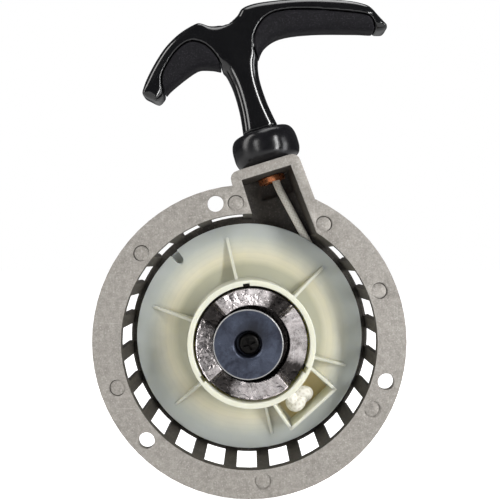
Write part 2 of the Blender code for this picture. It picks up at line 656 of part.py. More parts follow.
# A knot: a ball pressed out of round.
def make_knot(name, fibre, half, parent=None, place=(0, 0, 0), turn=0.0):
    bm = bmesh.new()
    bmesh.ops.create_uvsphere(bm, u_segments=16, v_segments=8, radius=1.0)
    bmesh.ops.scale(bm, verts=bm.verts, vec=half)
    knot = finish_object(bm, name, fibre, parent, 60.0)
    knot.location = place
    knot.rotation_euler = (0, -math.radians(turn), 0)
    return knot


def make_recoil_spring(steel):
    inner = SLEEVE_RADIUS + GAP + STRIP_THICK
    outer = SPRING_WELL_RADIUS - GAP - STRIP_THICK
    depth_low = LEDGE + STRIP_LIFT
    depth_high = depth_low + STRIP_WIDTH
    per_turn = 20
    count = STRIP_TURNS * per_turn
    bm = bmesh.new()
    rows = []
    for k in range(count + 1):
        share = k / count
        radius = inner + (outer - inner) * share
        angle = 360.0 * k / per_turn
        near = polar(radius - STRIP_THICK / 2, angle)
        far = polar(radius + STRIP_THICK / 2, angle)
        corners = [(near, depth_low), (far, depth_low), (far, depth_high), (near, depth_high)]
        rows.append([bm.verts.new((p.x, depth, p.z)) for p, depth in corners])
    for row, after in zip(rows, rows[1:]):
        for i in range(4):
            bm.faces.new([row[i], row[(i + 1) % 4], after[(i + 1) % 4], after[i]])
    bm.faces.new(rows[0])
    bm.faces.new(list(reversed(rows[-1])))
    return finish_object(bm, "recoil_spring", steel)


# Height of the claw's face at an angle: a low flat, a ramp, a high flat and a steep step down.
def tooth_height(share):
    ramp_end = 1.0 - TOOTH_HIGH_SHARE
    if share <= TOOTH_LOW_SHARE:
        return CLAW_LOW
    if share >= ramp_end:
        return CLAW_HIGH
    t = (share - TOOTH_LOW_SHARE) / (ramp_end - TOOTH_LOW_SHARE)
    return CLAW_LOW + (CLAW_HIGH - CLAW_LOW) * t


def make_claw(cast_steel):
    pitch = 360.0 / TOOTH_COUNT
    flats = [0.0, TOOTH_LOW_SHARE / 2, TOOTH_LOW_SHARE]
    ramp = [TOOTH_LOW_SHARE + (1 - TOOTH_HIGH_SHARE - TOOTH_LOW_SHARE) * k / 6 for k in range(1, 7)]
    shares = flats + ramp + [1 - TOOTH_HIGH_SHARE / 2, 0.993]
    teeth_radius = CLAW_RADIUS - CLAW_RIM
    bm = bmesh.new()
    rows = []
    for tooth in range(TOOTH_COUNT):
        for share in shares:
            angle = TOOTH_PHASE + (tooth + share) * pitch
            face = tooth_height(share)
            section = [
                (CLAW_BORE, face), (teeth_radius, face), (teeth_radius, CLAW_BASE_FRONT),
                (CLAW_RADIUS, CLAW_BASE_FRONT), (CLAW_RADIUS, CLAW_BACK), (CLAW_SEAT_BORE, CLAW_BACK),
                (CLAW_SEAT_BORE, CLAW_BACK - CLAW_SEAT_THICK), (CLAW_BORE, CLAW_BACK - CLAW_SEAT_THICK),
            ]
            rows.append([bm.verts.new(polar(r, angle, depth)) for r, depth in section])
    for k, row in enumerate(rows):
        after = rows[(k + 1) % len(rows)]
        for i in range(len(row)):
            j = (i + 1) % len(row)
            bm.faces.new([row[i], row[j], after[j], after[i]])
    claw = finish_object(bm, "ratchet_claw", cast_steel)

    lugs = bmesh.new()
    lug_width = KEYWAY_WIDTH - 2 * GAP
    for angle in KEYWAY_ANGLES:
        add_bar(lugs, polar(CLAW_RADIUS - 2 * MM, angle), polar(HUB_BORE + KEYWAY_DEPTH - GAP, angle),
                lug_width, CLAW_BASE_FRONT + 0.5 * MM, CLAW_BACK - 0.5 * MM)
    combine(claw, make_cutter(lugs, "claw_lugs"), "UNION")

    slot = bmesh.new()
    add_bar(slot, polar(CLAW_SEAT_BORE - MM, drag_leg_angle()), polar(DRAG_SLOT_END, drag_leg_angle()),
            DRAG_WIRE + 2 * GAP, CLAW_BACK - CLAW_SEAT_THICK - MM, CLAW_BACK + MM)
    combine(claw, make_cutter(slot, "leg_slot"), "DIFFERENCE")
    return claw


def drag_leg_angle():
    return DRAG_START + DRAG_SWEEP


def make_claw_spring(steel):
    wire = CLAW_SPRING_WIRE / 2
    front = HUB_FRONT + CAP_THICK + GAP + wire
    back = CLAW_BACK - CLAW_SEAT_THICK - GAP - wire
    per_turn = 14
    count = int(CLAW_SPRING_TURNS * per_turn)
    points = [
        polar(CLAW_SPRING_RADIUS, 360.0 * k / per_turn, front + (back - front) * k / count)
        for k in range(count + 1)
    ]
    return make_tube("claw_spring", points, wire, steel, None, 1)


def make_drag_spring(steel):
    wire = DRAG_WIRE / 2
    radius = DRAG_RADIUS
    depth = CLAW_BACK + GAP + wire + DRAG_SPRING_STEP
    steps = 24
    points = [polar(radius, DRAG_START + DRAG_SWEEP * k / steps, depth) for k in range(steps + 1)]
    reach = radius + DRAG_LEG_REACH
    points.append(polar((radius + reach) / 2, drag_leg_angle(), depth))
    points.append(polar(reach, drag_leg_angle(), depth))
    points.append(polar(reach + DRAG_LEG_FOOT, drag_leg_angle(), depth - wire))
    points.append(polar(reach + DRAG_LEG_FOOT, drag_leg_angle(), CLAW_BACK - CLAW_SEAT_THICK + GAP))
    return make_tube("drag_spring", points, wire, steel, None, 1)


def make_cap(blued_steel):
    back = HUB_FRONT + CAP_THICK
    floor = HUB_FRONT + CAP_DISH_DEPTH
    dish = CAP_DISH_RADIUS
    skin = CAP_THICK
    hole = SCREW_RADIUS + GAP
    outline = [
        (hole, floor), (dish - MM, floor), (dish, floor - MM), (dish, HUB_FRONT + CAP_DISH_EDGE),
        (dish + CAP_DISH_EDGE, HUB_FRONT), (CAP_RADIUS - CAP_EDGE, HUB_FRONT),
        (CAP_RADIUS, HUB_FRONT + CAP_EDGE), (CAP_RADIUS, back),
        (dish + skin + 0.5 * MM, back), (dish + skin, back + 0.6 * MM),
        (dish + skin, floor), (dish + skin - MM, floor + skin), (hole, floor + skin),
    ]
    make_turned("cap_disc", outline, blued_steel, 32)


def make_screw(steel):
    washer_back = HUB_FRONT + CAP_DISH_DEPTH - GAP
    washer_front = washer_back - WASHER_THICK
    hole = SCREW_RADIUS + GAP
    washer_radius = CAP_DISH_RADIUS - 2 * GAP
    outline = [
        (hole, washer_front), (washer_radius - 0.2 * MM, washer_front),
        (washer_radius - 0.2 * MM, washer_back - MM * 0.6), (washer_radius - MM, washer_back),
        (hole, washer_back),
    ]
    make_turned("lock_washer", outline, steel, 24)

    head_back = washer_front - GAP
    head_front = head_back - SCREW_HEAD_HEIGHT
    end = POST_FRONT + SCREW_LENGTH - GAP
    outline = [
        (0, head_front), (SCREW_HEAD_RADIUS - SCREW_HEAD_EDGE, head_front),
        (SCREW_HEAD_RADIUS, head_front + SCREW_HEAD_EDGE), (SCREW_HEAD_RADIUS, head_back),
        (SCREW_RADIUS, head_back), (SCREW_RADIUS, end - SCREW_TIP_EDGE), (SCREW_RADIUS - SCREW_TIP_EDGE, end),
        (0, end),
    ]
    screw = make_turned("centre_screw", outline, steel, 24)
    cross = bmesh.new()
    reach = polar(SCREW_SLOT_REACH, SCREW_SLOT_ANGLE)
    reach_across = polar(SCREW_SLOT_REACH, SCREW_SLOT_ANGLE + 90.0)
    depth = head_front + SCREW_SLOT_DEPTH
    add_bar(cross, -reach, reach, SCREW_SLOT_WIDTH, head_front - MM, depth)
    combine(screw, make_cutter(cross, "driver_slot"), "DIFFERENCE")
    cross = bmesh.new()
    add_bar(cross, -reach_across, reach_across, SCREW_SLOT_WIDTH, head_front - MM, depth - 0.1 * MM)
    combine(screw, make_cutter(cross, "driver_slot_across"), "DIFFERENCE")


def make_spacers(steel):
    bore = POST_NECK_RADIUS + GAP
    washer_back = HUB_FLOOR - GAP
    washer_front = washer_back - WASHER_THICK
    thrust = [
        (bore, washer_front), (THRUST_RADIUS, washer_front),
        (THRUST_RADIUS, washer_back), (bore, washer_back),
    ]
    make_turned("thrust_washer", thrust, steel, 36)
    front = POST_FRONT
    back = washer_front - GAP
    sleeve = [(bore, front), (POST_RADIUS, front), (POST_RADIUS, back), (bore, back)]
    make_turned("spacer_sleeve", sleeve, steel, 36)


def make_collar(rubber):
    height = COLLAR_HEIGHT
    radius = COLLAR_RADIUS
    bore = SPIGOT_RADIUS + GAP
    mouth = ROPE_BORE + MM
    outline = [(mouth, SEAT)]
    outline += [(radius * share, SEAT + height * rise) for share, rise in COLLAR_PROFILE]
    outline += [(bore, COLLAR_TOP), (bore, SEAT + COLLAR_FLOOR), (mouth, SEAT + COLLAR_FLOOR)]
    make_turned("handle_collar", outline, rubber, 28, "Z", PULL_LINE)


def bar_points(points):
    scale = HANDLE_SPAN / DRAWN_SPAN
    base = COLLAR_HEIGHT / MM
    return [Vector((x * scale, SEAT / MM + base + (rise - base) * scale)) for x, rise in points]


def bar_outline():
    return [p * MM for p in smoothed(bar_points(BAR))]


# The region of a grip: below its drawn edge, down past the bar's underside.
def grip_outline(drawn):
    edge = [p * MM for p in smoothed(bar_points(drawn), closed=False)]
    drop = Vector((0, -GRIP_DROP))
    return edge + [edge[-1] + drop, edge[0] + drop]


# A flat bar with rounded rims, or a block that cuts one.
def bar_block(outline, half, rounding):
    bm = bmesh.new()
    rims = add_prism(bm, [tuple(p) for p in outline], -half, half)
    if rounding > 0:
        bmesh.ops.bevel(bm, geom=rims, offset=rounding, segments=2, profile=0.5, affect="EDGES",
                        clamp_overlap=True)
    return bm


def make_handle(gloss, soft):
    half = HANDLE_THICK / 2
    whole = bar_outline()
    body = finish_object(bar_block(whole, half, HANDLE_ROUND), "handle_body", gloss, PULL_LINE, 50.0)
    for name, drawn in (("handle_grip_right", RIGHT_GRIP), ("handle_grip_left", LEFT_GRIP)):
        region = grip_outline(drawn)
        grip = finish_object(bar_block(whole, half, HANDLE_ROUND), name, soft, PULL_LINE, 50.0)
        combine(grip, make_cutter(bar_block(region, half + MM, 0), name + "_region", PULL_LINE), "INTERSECT")
        recess = bar_block(grown(region, GAP), half + MM, 0)
        combine(body, make_cutter(recess, name + "_recess", PULL_LINE), "DIFFERENCE")

    scale = HANDLE_SPAN / DRAWN_SPAN
    foot = SEAT + COLLAR_FLOOR + GAP
    shoulder = COLLAR_TOP + GAP
    head = SEAT + COLLAR_HEIGHT + (STEM_HEAD - COLLAR_HEIGHT) * scale
    stem_outline = [(0, foot), (SPIGOT_RADIUS, foot), (SPIGOT_RADIUS, shoulder), (STEM_FOOT_RADIUS, shoulder)]
    for share, part in STEM_FLARE:
        radius = max(STEM_RADIUS, STEM_FOOT_RADIUS * share)
        stem_outline.append((radius, shoulder + (head - shoulder) * part))
    stem_outline.append((0, head))
    stem = bmesh.new()
    add_turned(stem, stem_outline, 28, "Z")
    combine(body, make_cutter(stem, "handle_stem", PULL_LINE), "UNION")

    bores = bmesh.new()
    top = SEAT + BORE_TOP * max(1.0, scale)
    pocket = SEAT + KNOT_POCKET_RISE
    bore_outline = [
        (0, foot - MM), (ROPE_BORE, foot - MM), (ROPE_BORE, pocket), (KNOT_POCKET_RADIUS, pocket),
        (KNOT_POCKET_RADIUS, top), (0, top),
    ]
    add_turned(bores, bore_outline, 28, "Z")
    combine(body, make_cutter(bores, "rope_bore", PULL_LINE), "DIFFERENCE")
    return body


def make_handle_knot(steel, fibre):
    seat = SEAT + KNOT_POCKET_RISE + GAP
    outer = KNOT_POCKET_RADIUS - GAP
    inner = ROPE_RADIUS + GAP
    ring = [(inner, seat), (outer, seat), (outer, seat + WASHER_THICK), (inner, seat + WASHER_THICK)]
    make_turned("knot_washer", ring, steel, 28, "Z", PULL_LINE)
    half_height = HANDLE_KNOT_HEIGHT / 2
    radius = KNOT_POCKET_RADIUS - 2 * GAP
    place = (0, 0, seat + WASHER_THICK + GAP + half_height)
    make_knot("handle_knot", fibre, (radius, radius * 0.9, half_height), PULL_LINE, place)


def clear_scene():
    for item in list(bpy.data.objects):
        bpy.data.objects.remove(item, do_unlink=True)


clear_scene()
PULL_LINE = make_pull_line()

aluminium = make_material("cast_aluminium", (0.52, 0.49, 0.46), 0.5, 1.0)
copper = make_material("copper", (0.72, 0.38, 0.22), 0.3, 1.0)
nylon = make_material("natural_nylon", (0.72, 0.74, 0.62), 0.4)
rope_fibre = make_material("rope_fibre", (0.85, 0.83, 0.76), 0.8)
spring_steel = make_material("spring_steel", (0.33, 0.33, 0.35), 0.35, 1.0)
cast_steel = make_material("cast_steel", (0.62, 0.6, 0.57), 0.35, 1.0)
blued_steel = make_material("blued_steel", (0.08, 0.11, 0.17), 0.35, 0.9)
zinc_steel = make_material("zinc_steel", (0.6, 0.6, 0.6), 0.35, 1.0)
gloss_black = make_material("gloss_black", (0.01, 0.01, 0.012), 0.12)
soft_black = make_material("soft_black", (0.03, 0.03, 0.032), 0.75)
rubber = make_material("black_rubber", (0.02, 0.02, 0.022), 0.5)

make_housing(aluminium)
make_eyelet(copper)
make_pulley(nylon)
make_rope(rope_fibre)
knot_place = polar(knot_radius(), KNOT_BOX_ANGLE, DISC_FRONT - GAP - KNOT_HALF[1])
knot_place += polar(KNOT_SHIFT, KNOT_BOX_ANGLE + 90.0)
make_knot("rope_knot", rope_fibre, KNOT_HALF, None, knot_place, KNOT_BOX_ANGLE)
make_recoil_spring(spring_steel)
make_claw(cast_steel)
make_claw_spring(spring_steel)
make_drag_spring(spring_steel)
make_cap(blued_steel)
make_screw(blued_steel)
make_spacers(zinc_steel)
make_collar(rubber)
make_handle(gloss_black, soft_black)
make_handle_knot(zinc_steel, rope_fibre)
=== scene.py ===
# Looks of a recoil starter: cast housing, nylon rope pulley, face-toothed claw, T handle on a rope.
# Lengths inside this file are millimetres; meshes are written in metres.
import math

import bmesh
import bpy
import numpy as np
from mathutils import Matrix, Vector


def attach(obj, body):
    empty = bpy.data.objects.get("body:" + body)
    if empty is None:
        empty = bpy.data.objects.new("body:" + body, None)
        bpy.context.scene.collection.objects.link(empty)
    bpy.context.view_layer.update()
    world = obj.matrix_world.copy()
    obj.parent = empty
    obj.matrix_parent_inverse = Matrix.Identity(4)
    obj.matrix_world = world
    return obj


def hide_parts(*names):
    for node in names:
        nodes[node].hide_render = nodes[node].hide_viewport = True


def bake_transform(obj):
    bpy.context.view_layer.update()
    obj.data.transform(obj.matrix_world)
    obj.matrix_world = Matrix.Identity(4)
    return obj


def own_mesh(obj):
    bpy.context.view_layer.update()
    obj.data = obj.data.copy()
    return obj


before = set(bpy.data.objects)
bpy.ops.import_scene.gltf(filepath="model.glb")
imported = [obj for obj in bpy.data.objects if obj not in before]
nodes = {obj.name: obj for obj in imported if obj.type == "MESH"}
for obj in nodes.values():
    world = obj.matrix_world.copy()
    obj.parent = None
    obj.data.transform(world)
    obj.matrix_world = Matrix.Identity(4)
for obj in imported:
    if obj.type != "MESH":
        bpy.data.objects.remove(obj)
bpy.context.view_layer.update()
mm = 0.001

# The pull line leans from +Z towards -X; across, rise and depth are measured along and beside it.
pullLine = {"tilt": math.radians(17.2), "offset": 32.6, "ropeDepth": 24.0, "seat": 72.5}


# across runs along the tilted X, rise along the pull line, depth is the world's Y
def pullToCrank(across, rise, depth):
    tilt = pullLine["tilt"]
    out = pullLine["offset"] + across
    x = out * np.cos(tilt) - rise * np.sin(tilt)
    z = out * np.sin(tilt) + rise * np.cos(tilt)
    return np.stack(np.broadcast_arrays(x, depth, z), -1)


# radius and angle in the XZ plane, depth along Y
def crankPoints(radius, degrees, depth):
    angle = np.radians(degrees)
    return np.stack(np.broadcast_arrays(radius * np.cos(angle), depth, radius * np.sin(angle)), -1)


# ---- meshes from grids

def linked(name, data):
    piece = bpy.data.objects.new(name, data)
    bpy.context.scene.collection.objects.link(piece)
    return piece


# A grid of points (rows, columns, xyz) becomes quads; either way round may be closed.
def gridPiece(name, points, closeRows=False, closeColumns=False, uv=None, crease=40.0):
    rows, columns = points.shape[:2]
    row = np.arange(rows if closeRows else rows - 1)
    column = np.arange(columns if closeColumns else columns - 1)
    a, b = [part.ravel() for part in np.meshgrid(row, column, indexing="ij")]
    aNext = (a + 1) % rows
    bNext = (b + 1) % columns
    quads = np.stack([a * columns + b, aNext * columns + b,
                      aNext * columns + bNext, a * columns + bNext], 1)
    mesh = bpy.data.meshes.new(name)
    mesh.from_pydata((points.reshape(-1, 3) * mm).tolist(), [], quads.tolist())
    if uv is not None:
        corners = np.stack([uv[a, b], uv[a + 1, b], uv[a + 1, b + 1], uv[a, b + 1]], 1)
        layer = mesh.uv_layers.new(name="lay")
        layer.data.foreach_set("uv", corners.reshape(-1).astype(np.float32))
    return settled(linked(name, mesh), crease)


# Merges doubled points, drops faces without area and turns the rest outwards.
def settled(piece, crease=40.0):
    bm = bmesh.new()
    bm.from_mesh(piece.data)
    bmesh.ops.remove_doubles(bm, verts=bm.verts, dist=1e-6)
    bmesh.ops.dissolve_degenerate(bm, edges=bm.edges, dist=1e-7)
    bmesh.ops.recalc_face_normals(bm, faces=bm.faces)
    bm.to_mesh(piece.data)
    bm.free()
    piece.data.shade_smooth()
    piece.data.set_sharp_from_angle(angle=math.radians(crease))
    return piece


# Corners (a, b, radius) of a closed outline, each turned into a quadratic arc of a few points.
# Returns the points and, for each, the number of the corner that it belongs to.
def rounded(corners, steps=4):
    corners = np.array(corners, float)
    place = corners[:, :2]
    before = np.roll(place, 1, 0) - place
    after = np.roll(place, -1, 0) - place
    lengthBefore = np.linalg.norm(before, axis=1, keepdims=True)
    lengthAfter = np.linalg.norm(after, axis=1, keepdims=True)
    reach = np.minimum(corners[:, 2:3], 0.45 * np.minimum(lengthBefore, lengthAfter))
    start = place + before / lengthBefore * reach
    end = place + after / lengthAfter * reach
    t = np.linspace(0, 1, steps + 1)[None, :, None]
    arcs = (1 - t) ** 2 * start[:, None] + 2 * t * (1 - t) * place[:, None] + t * t * end[:, None]
    owner = np.repeat(np.arange(len(corners)), steps + 1)
    return arcs.reshape(-1, 2), owner


# A cubic through the given points, evenly filled: Catmull-Rom on whole arrays.
def through(points, fill, closed=True):
    points = np.array(points, float)
    count = len(points)
    spans = count if closed else count - 1
    index = np.arange(spans)[:, None] + np.arange(-1, 3)[None, :]
    index = index % count if closed else np.clip(index, 0, count - 1)
    a, b, c, d = [points[index[:, k]][:, None] for k in range(4)]
    t = (np.arange(fill) / fill)[None, :, None]
    path = 0.5 * (2 * b + (c - a) * t + (2 * a - 5 * b + 4 * c - d) * t ** 2
                  + (3 * b - a - 3 * c + d) * t ** 3)
    path = path.reshape(-1, points.shape[1])
    return path if closed else np.vstack([path, points[-1:]])


# A profile (radius, height) turned about the crank axis, or about the pull line or a line beside it.
def turned(profile, count, about="crank", shift=0.0):
    angle = np.arange(count) * 360.0 / count
    radius, height = profile[:, 0][None, :], profile[:, 1][None, :]
    if about == "crank":
        return crankPoints(radius, angle[:, None], height)
    theta = np.radians(angle)[:, None]
    depth = pullLine["ropeDepth"] + radius * np.sin(theta)
    return pullToCrank(shift + radius * np.cos(theta), height + 0 * theta, depth)


# Carries a round or oval section along a path. relief(along, around) scales the radius.
# The section's frame starts from a given direction and is turned as little as possible.
def tube(name, path, radius, sides, upward, squeeze=(1.0, 1.0), relief=None, closed=False):
    path = np.array(path, float)
    step = np.roll(path, -1, 0) - np.roll(path, 1, 0) if closed else np.gradient(path, axis=0)
    forward = step / np.linalg.norm(step, axis=1, keepdims=True)
    upward = np.broadcast_to(np.array(upward, float), path.shape)
    side = np.cross(forward, upward)
    side /= np.linalg.norm(side, axis=1, keepdims=True)
    lift = np.cross(side, forward)
    gaps = np.linalg.norm(np.diff(path, axis=0), axis=1)
    along = np.concatenate([[0.0], np.cumsum(gaps)])
    around = np.arange(sides) / sides
    size = np.full((len(path), sides), float(radius))
    if relief is not None:
        size = size * relief(along[:, None], around[None, :])
    if not closed:
        fromEnd = np.minimum(along, along[-1] - along)
        size = size * np.sqrt(np.clip(1 - (1 - np.clip(fromEnd / radius, 0, 1)) ** 2, 0, 1))[:, None]
    angle = 2 * np.pi * around[None, :, None]
    points = path[:, None] + size[..., None] * (
        squeeze[0] * np.cos(angle) * side[:, None] + squeeze[1] * np.sin(angle) * lift[:, None])
    uvAlong = np.append(along, along[-1]) if closed else along
    uv = np.stack(np.meshgrid(uvAlong * mm, np.arange(sides + 1) / sides, indexing="ij"), -1)
    return gridPiece(name, points, closed, True, uv=uv, crease=70.0)


# Spaces the points of a path evenly.
def evenly(path, spacing):
    path = np.array(path, float)
    along = np.concatenate([[0.0], np.cumsum(np.linalg.norm(np.diff(path, axis=0), axis=1))])
    wanted = np.linspace(0, along[-1], max(int(along[-1] / spacing), 8) + 1)
    return np.stack([np.interp(wanted, along, path[:, k]) for k in range(path.shape[1])], 1)


# 1 inside a window of angles about each centre, 0 outside
def window(degrees, centres, halfWidth):
    away = np.abs((degrees[:, None] - np.array(centres)[None, :] + 180.0) % 360.0 - 180.0)
    return (away <= halfWidth).any(1).astype(float)


# Evenly spaced angles with a pair added at each edge of the given windows, so that walls stand straight
def anglesWithEdges(step, edges):
    base = np.arange(0, 360, step)
    edges = np.array(edges, float) % 360.0
    extra = np.concatenate([edges - 0.02, edges + 0.02]) % 360.0
    near = np.abs((base[:, None] - edges[None, :] + 180.0) % 360.0 - 180.0).min(1) < step * 0.3
    return np.sort(np.concatenate([base[~near], extra]))


# Smooth seeded waves in two directions, between about -1 and 1
def waves(a, b, seed, count=9):
    rng = np.random.default_rng(seed)
    turn = rng.uniform(0, 6.28, count)
    rate = rng.uniform(0.4, 2.2, count)
    phase = rng.uniform(0, 6.28, count)
    total = sum(np.sin(r * (np.cos(t) * a + np.sin(t) * b) + p) for t, r, p in zip(turn, rate, phase))
    return total / count ** 0.5 / 1.2


# The mesh of a piece with its modifiers in it, cutters removed.
def baked(piece, cutters=()):
    graph = bpy.context.evaluated_depsgraph_get()
    mesh = bpy.data.meshes.new_from_object(piece.evaluated_get(graph))
    piece.modifiers.clear()
    piece.data = mesh
    for cutter in cutters:
        bpy.data.objects.remove(cutter)
    return piece


def booleaned(piece, cutter, operation):
    modifier = piece.modifiers.new(cutter.name, "BOOLEAN")
    modifier.operation = operation
    modifier.solver = "EXACT"
    modifier.object = cutter


# ---- node helpers

def feed(tree, socket, value):
    if isinstance(value, bpy.types.NodeSocket):
        tree.links.new(value, socket)
    elif socket.type == "RGBA":
        socket.default_value = (*value, 1.0)
    else:
        socket.default_value = value


def addNode(tree, kind, inputs=None, **settings):
    node = tree.nodes.new(kind)
    for key, value in settings.items():
        setattr(node, key, value)
    for key, value in (inputs or {}).items():
        feed(tree, node.inputs[key], value)
    return node


def calc(tree, operation, a, b=0.0):
    return addNode(tree, "ShaderNodeMath", {0: a, 1: b}, operation=operation).outputs[0]


def times(tree, a, b):
    return calc(tree, "MULTIPLY", a, b)


def plus(tree, a, b):
    return calc(tree, "ADD", a, b)


def minus(tree, a, b):
    return calc(tree, "SUBTRACT", a, b)


def mixed(tree, share, a, b):
    return addNode(tree, "ShaderNodeMix", {0: share, 6: a, 7: b}, data_type="RGBA").outputs[2]


# Lays colours over one another, each by its share
def layered(tree, colour, layers):
    for share, over in layers:
        colour = mixed(tree, share, colour, over)
    return colour


# Maps a value from one span to another, clamped
def spanned(tree, value, low, high, lowOut=0.0, highOut=1.0, curve="LINEAR"):
    inputs = {0: value, 1: low, 2: high, 3: lowOut, 4: highOut}
    return addNode(tree, "ShaderNodeMapRange", inputs, interpolation_type=curve).outputs[0]


def ramp(tree, value, stops):
    node = addNode(tree, "ShaderNodeValToRGB", {0: value})
    elements = node.color_ramp.elements
    while len(elements) < len(stops):
        elements.new(0.5)
    for element, (place, colour) in zip(elements, stops):
        element.position = place
        element.color = (*colour, 1.0)
    return node.outputs[0]


def noise(tree, vector, scale, detail=3.0, rough=0.55, distortion=0.0):
    inputs = {"Vector": vector, "Scale": scale, "Detail": detail, "Roughness": rough}
    inputs["Distortion"] = distortion
    return addNode(tree, "ShaderNodeTexNoise", inputs).outputs[0]


def bump(tree, height, strength, distance, under=None):
    inputs = {"Strength": strength, "Distance": distance, "Height": height}
    if under is not None:
        inputs["Normal"] = under
    return addNode(tree, "ShaderNodeBump", inputs).outputs[0]


# A group takes a vector, then numbers with the values given, and puts out masks or heights.
def makeGroup(name, numbers, results):
    group = bpy.data.node_groups.new(name, "ShaderNodeTree")
    group.interface.new_socket("Vector", in_out="INPUT", socket_type="NodeSocketVector")
    for label, value in numbers.items():
        socket = group.interface.new_socket(label, in_out="INPUT", socket_type="NodeSocketFloat")
        socket.default_value = value
    for label in results:
        group.interface.new_socket(label, in_out="OUTPUT", socket_type="NodeSocketFloat")
    given = group.nodes.new("NodeGroupInput").outputs[:1 + len(numbers)]
    return group, given, group.nodes.new("NodeGroupOutput").inputs


def groupNode(tree, group, inputs):
    return addNode(tree, "ShaderNodeGroup", inputs, node_tree=group).outputs


# Cast skin: fine and coarse noise give the grain, cell noise gives flecks, broad noise gives stains,
# which on the claw are painted dark reflections.
def makeCastGrain():
    numbers = {"Grain Scale": 1200.0, "Stain Scale": 60.0}
    group, given, results = makeGroup("castGrain", numbers, ("Height", "Fleck", "Stain"))
    vector, grainScale, stainScale = given
    fine = noise(group, vector, grainScale, 5.0, 0.65)
    coarse = noise(group, vector, times(group, grainScale, 0.28), 3.0, 0.6)
    height = plus(group, times(group, fine, 0.55), times(group, coarse, 0.45))
    cells = {"Vector": vector, "Scale": times(group, grainScale, 0.5)}
    fleck = spanned(group, addNode(group, "ShaderNodeTexVoronoi", cells).outputs[0], 0.32, 0.05)
    broad = noise(group, vector, stainScale, 4.0, 0.6, 0.6)
    stainAndReflection = spanned(group, broad, 0.35, 0.68, curve="SMOOTHSTEP")
    for socket, value in zip(results, (height, fleck, stainAndReflection)):
        feed(group, socket, value)
    return group


# Handling marks: noise stretched one way, thresholded to thin strokes, broken up by broad noise.
def makeHandlingMarks():
    group, given, results = makeGroup("handlingMarks", {"Scale": 90.0, "Amount": 0.5}, ("Mark",))
    vector, scale, amount = given
    strokes = []
    for turn, squeeze in ((0.6, (1.0, 6.0, 22.0)), (-0.9, (20.0, 5.0, 1.2))):
        inputs = {"Vector": vector, "Rotation": (0.2, turn, 0.4), "Scale": squeeze}
        stretched = addNode(group, "ShaderNodeMapping", inputs).outputs[0]
        strokes.append(spanned(group, noise(group, stretched, scale, 2.0, 0.5), 0.64, 0.72))
    both = calc(group, "MAXIMUM", *strokes)
    broken = spanned(group, noise(group, vector, times(group, scale, 0.8), 2.0), 0.45, 0.62)
    feed(group, results[0], times(group, times(group, both, broken), amount))
    return group


# Mottle: two noises of different size, mixed, as a mask for a second colour.
def makeMottle():
    group, given, results = makeGroup("mottle", {"Scale": 200.0, "Sharpness": 0.5}, ("Mask",))
    vector, scale, sharp = given
    broad = noise(group, vector, scale, 4.0, 0.62, 0.8)
    fine = noise(group, vector, times(group, scale, 5.0), 3.0, 0.6)
    both = plus(group, times(group, broad, 0.7), times(group, fine, 0.3))
    half = minus(group, 0.3, times(group, sharp, 0.25))
    feed(group, results[0], spanned(group, both, minus(group, 0.5, half), plus(group, 0.5, half)))
    return group


# Braid: two sets of strands cross at plus and minus the braid angle; each strand is a rounded ridge.
def makeBraid():
    numbers = {"Along": 900.0, "Strands": 4.0}
    group, given, results = makeGroup("braid", numbers, ("Height", "Shade"))
    parts = addNode(group, "ShaderNodeSeparateXYZ", {0: given[0]}).outputs
    along, around = times(group, parts[0], given[1]), times(group, parts[1], given[2])
    ridges = []
    for operation in ("ADD", "SUBTRACT"):
        wave = calc(group, "SINE", times(group, calc(group, operation, along, around), math.tau))
        ridges.append(calc(group, "ABSOLUTE", wave))
    height = calc(group, "MAXIMUM", *ridges)
    fuzz = noise(group, given[0], 2600.0, 3.0)
    feed(group, results[0], plus(group, height, times(group, fuzz, 0.3)))
    feed(group, results[1], spanned(group, height, 0.45, 0.95))
    return group


castGrain, handlingMarks = makeCastGrain(), makeHandlingMarks()
mottle, braid = makeMottle(), makeBraid()


def mottled(tree, place, scale, sharp):
    return groupNode(tree, mottle, {"Vector": place, "Scale": scale, "Sharpness": sharp})[0]


def handled(tree, place, look, colour, markColour):
    inputs = {"Vector": place, "Scale": look["markScale"], "Amount": look["marks"]}
    return mixed(tree, groupNode(tree, handlingMarks, inputs)[0], colour, markColour)


def newMaterial(name, constants):
    material = bpy.data.materials.new(name)
    material.use_nodes = True
    tree = material.node_tree
    shader = tree.nodes["Principled BSDF"]
    for key, value in constants.items():
        shader.inputs[key].default_value = value
    place = addNode(tree, "ShaderNodeTexCoord").outputs["Object"]
    return material, tree, shader, place


# Feeds the shader: colour, roughness by a mask between its two values, bump by a height
def surfaced(tree, shader, look, colour, mask, span, height, under=None):
    feed(tree, shader.inputs["Base Color"], colour)
    feed(tree, shader.inputs["Roughness"], spanned(tree, mask, *span, *look["rough"]))
    feed(tree, shader.inputs["Normal"], bump(tree, height, look["bump"], look["bumpDepth"], under))
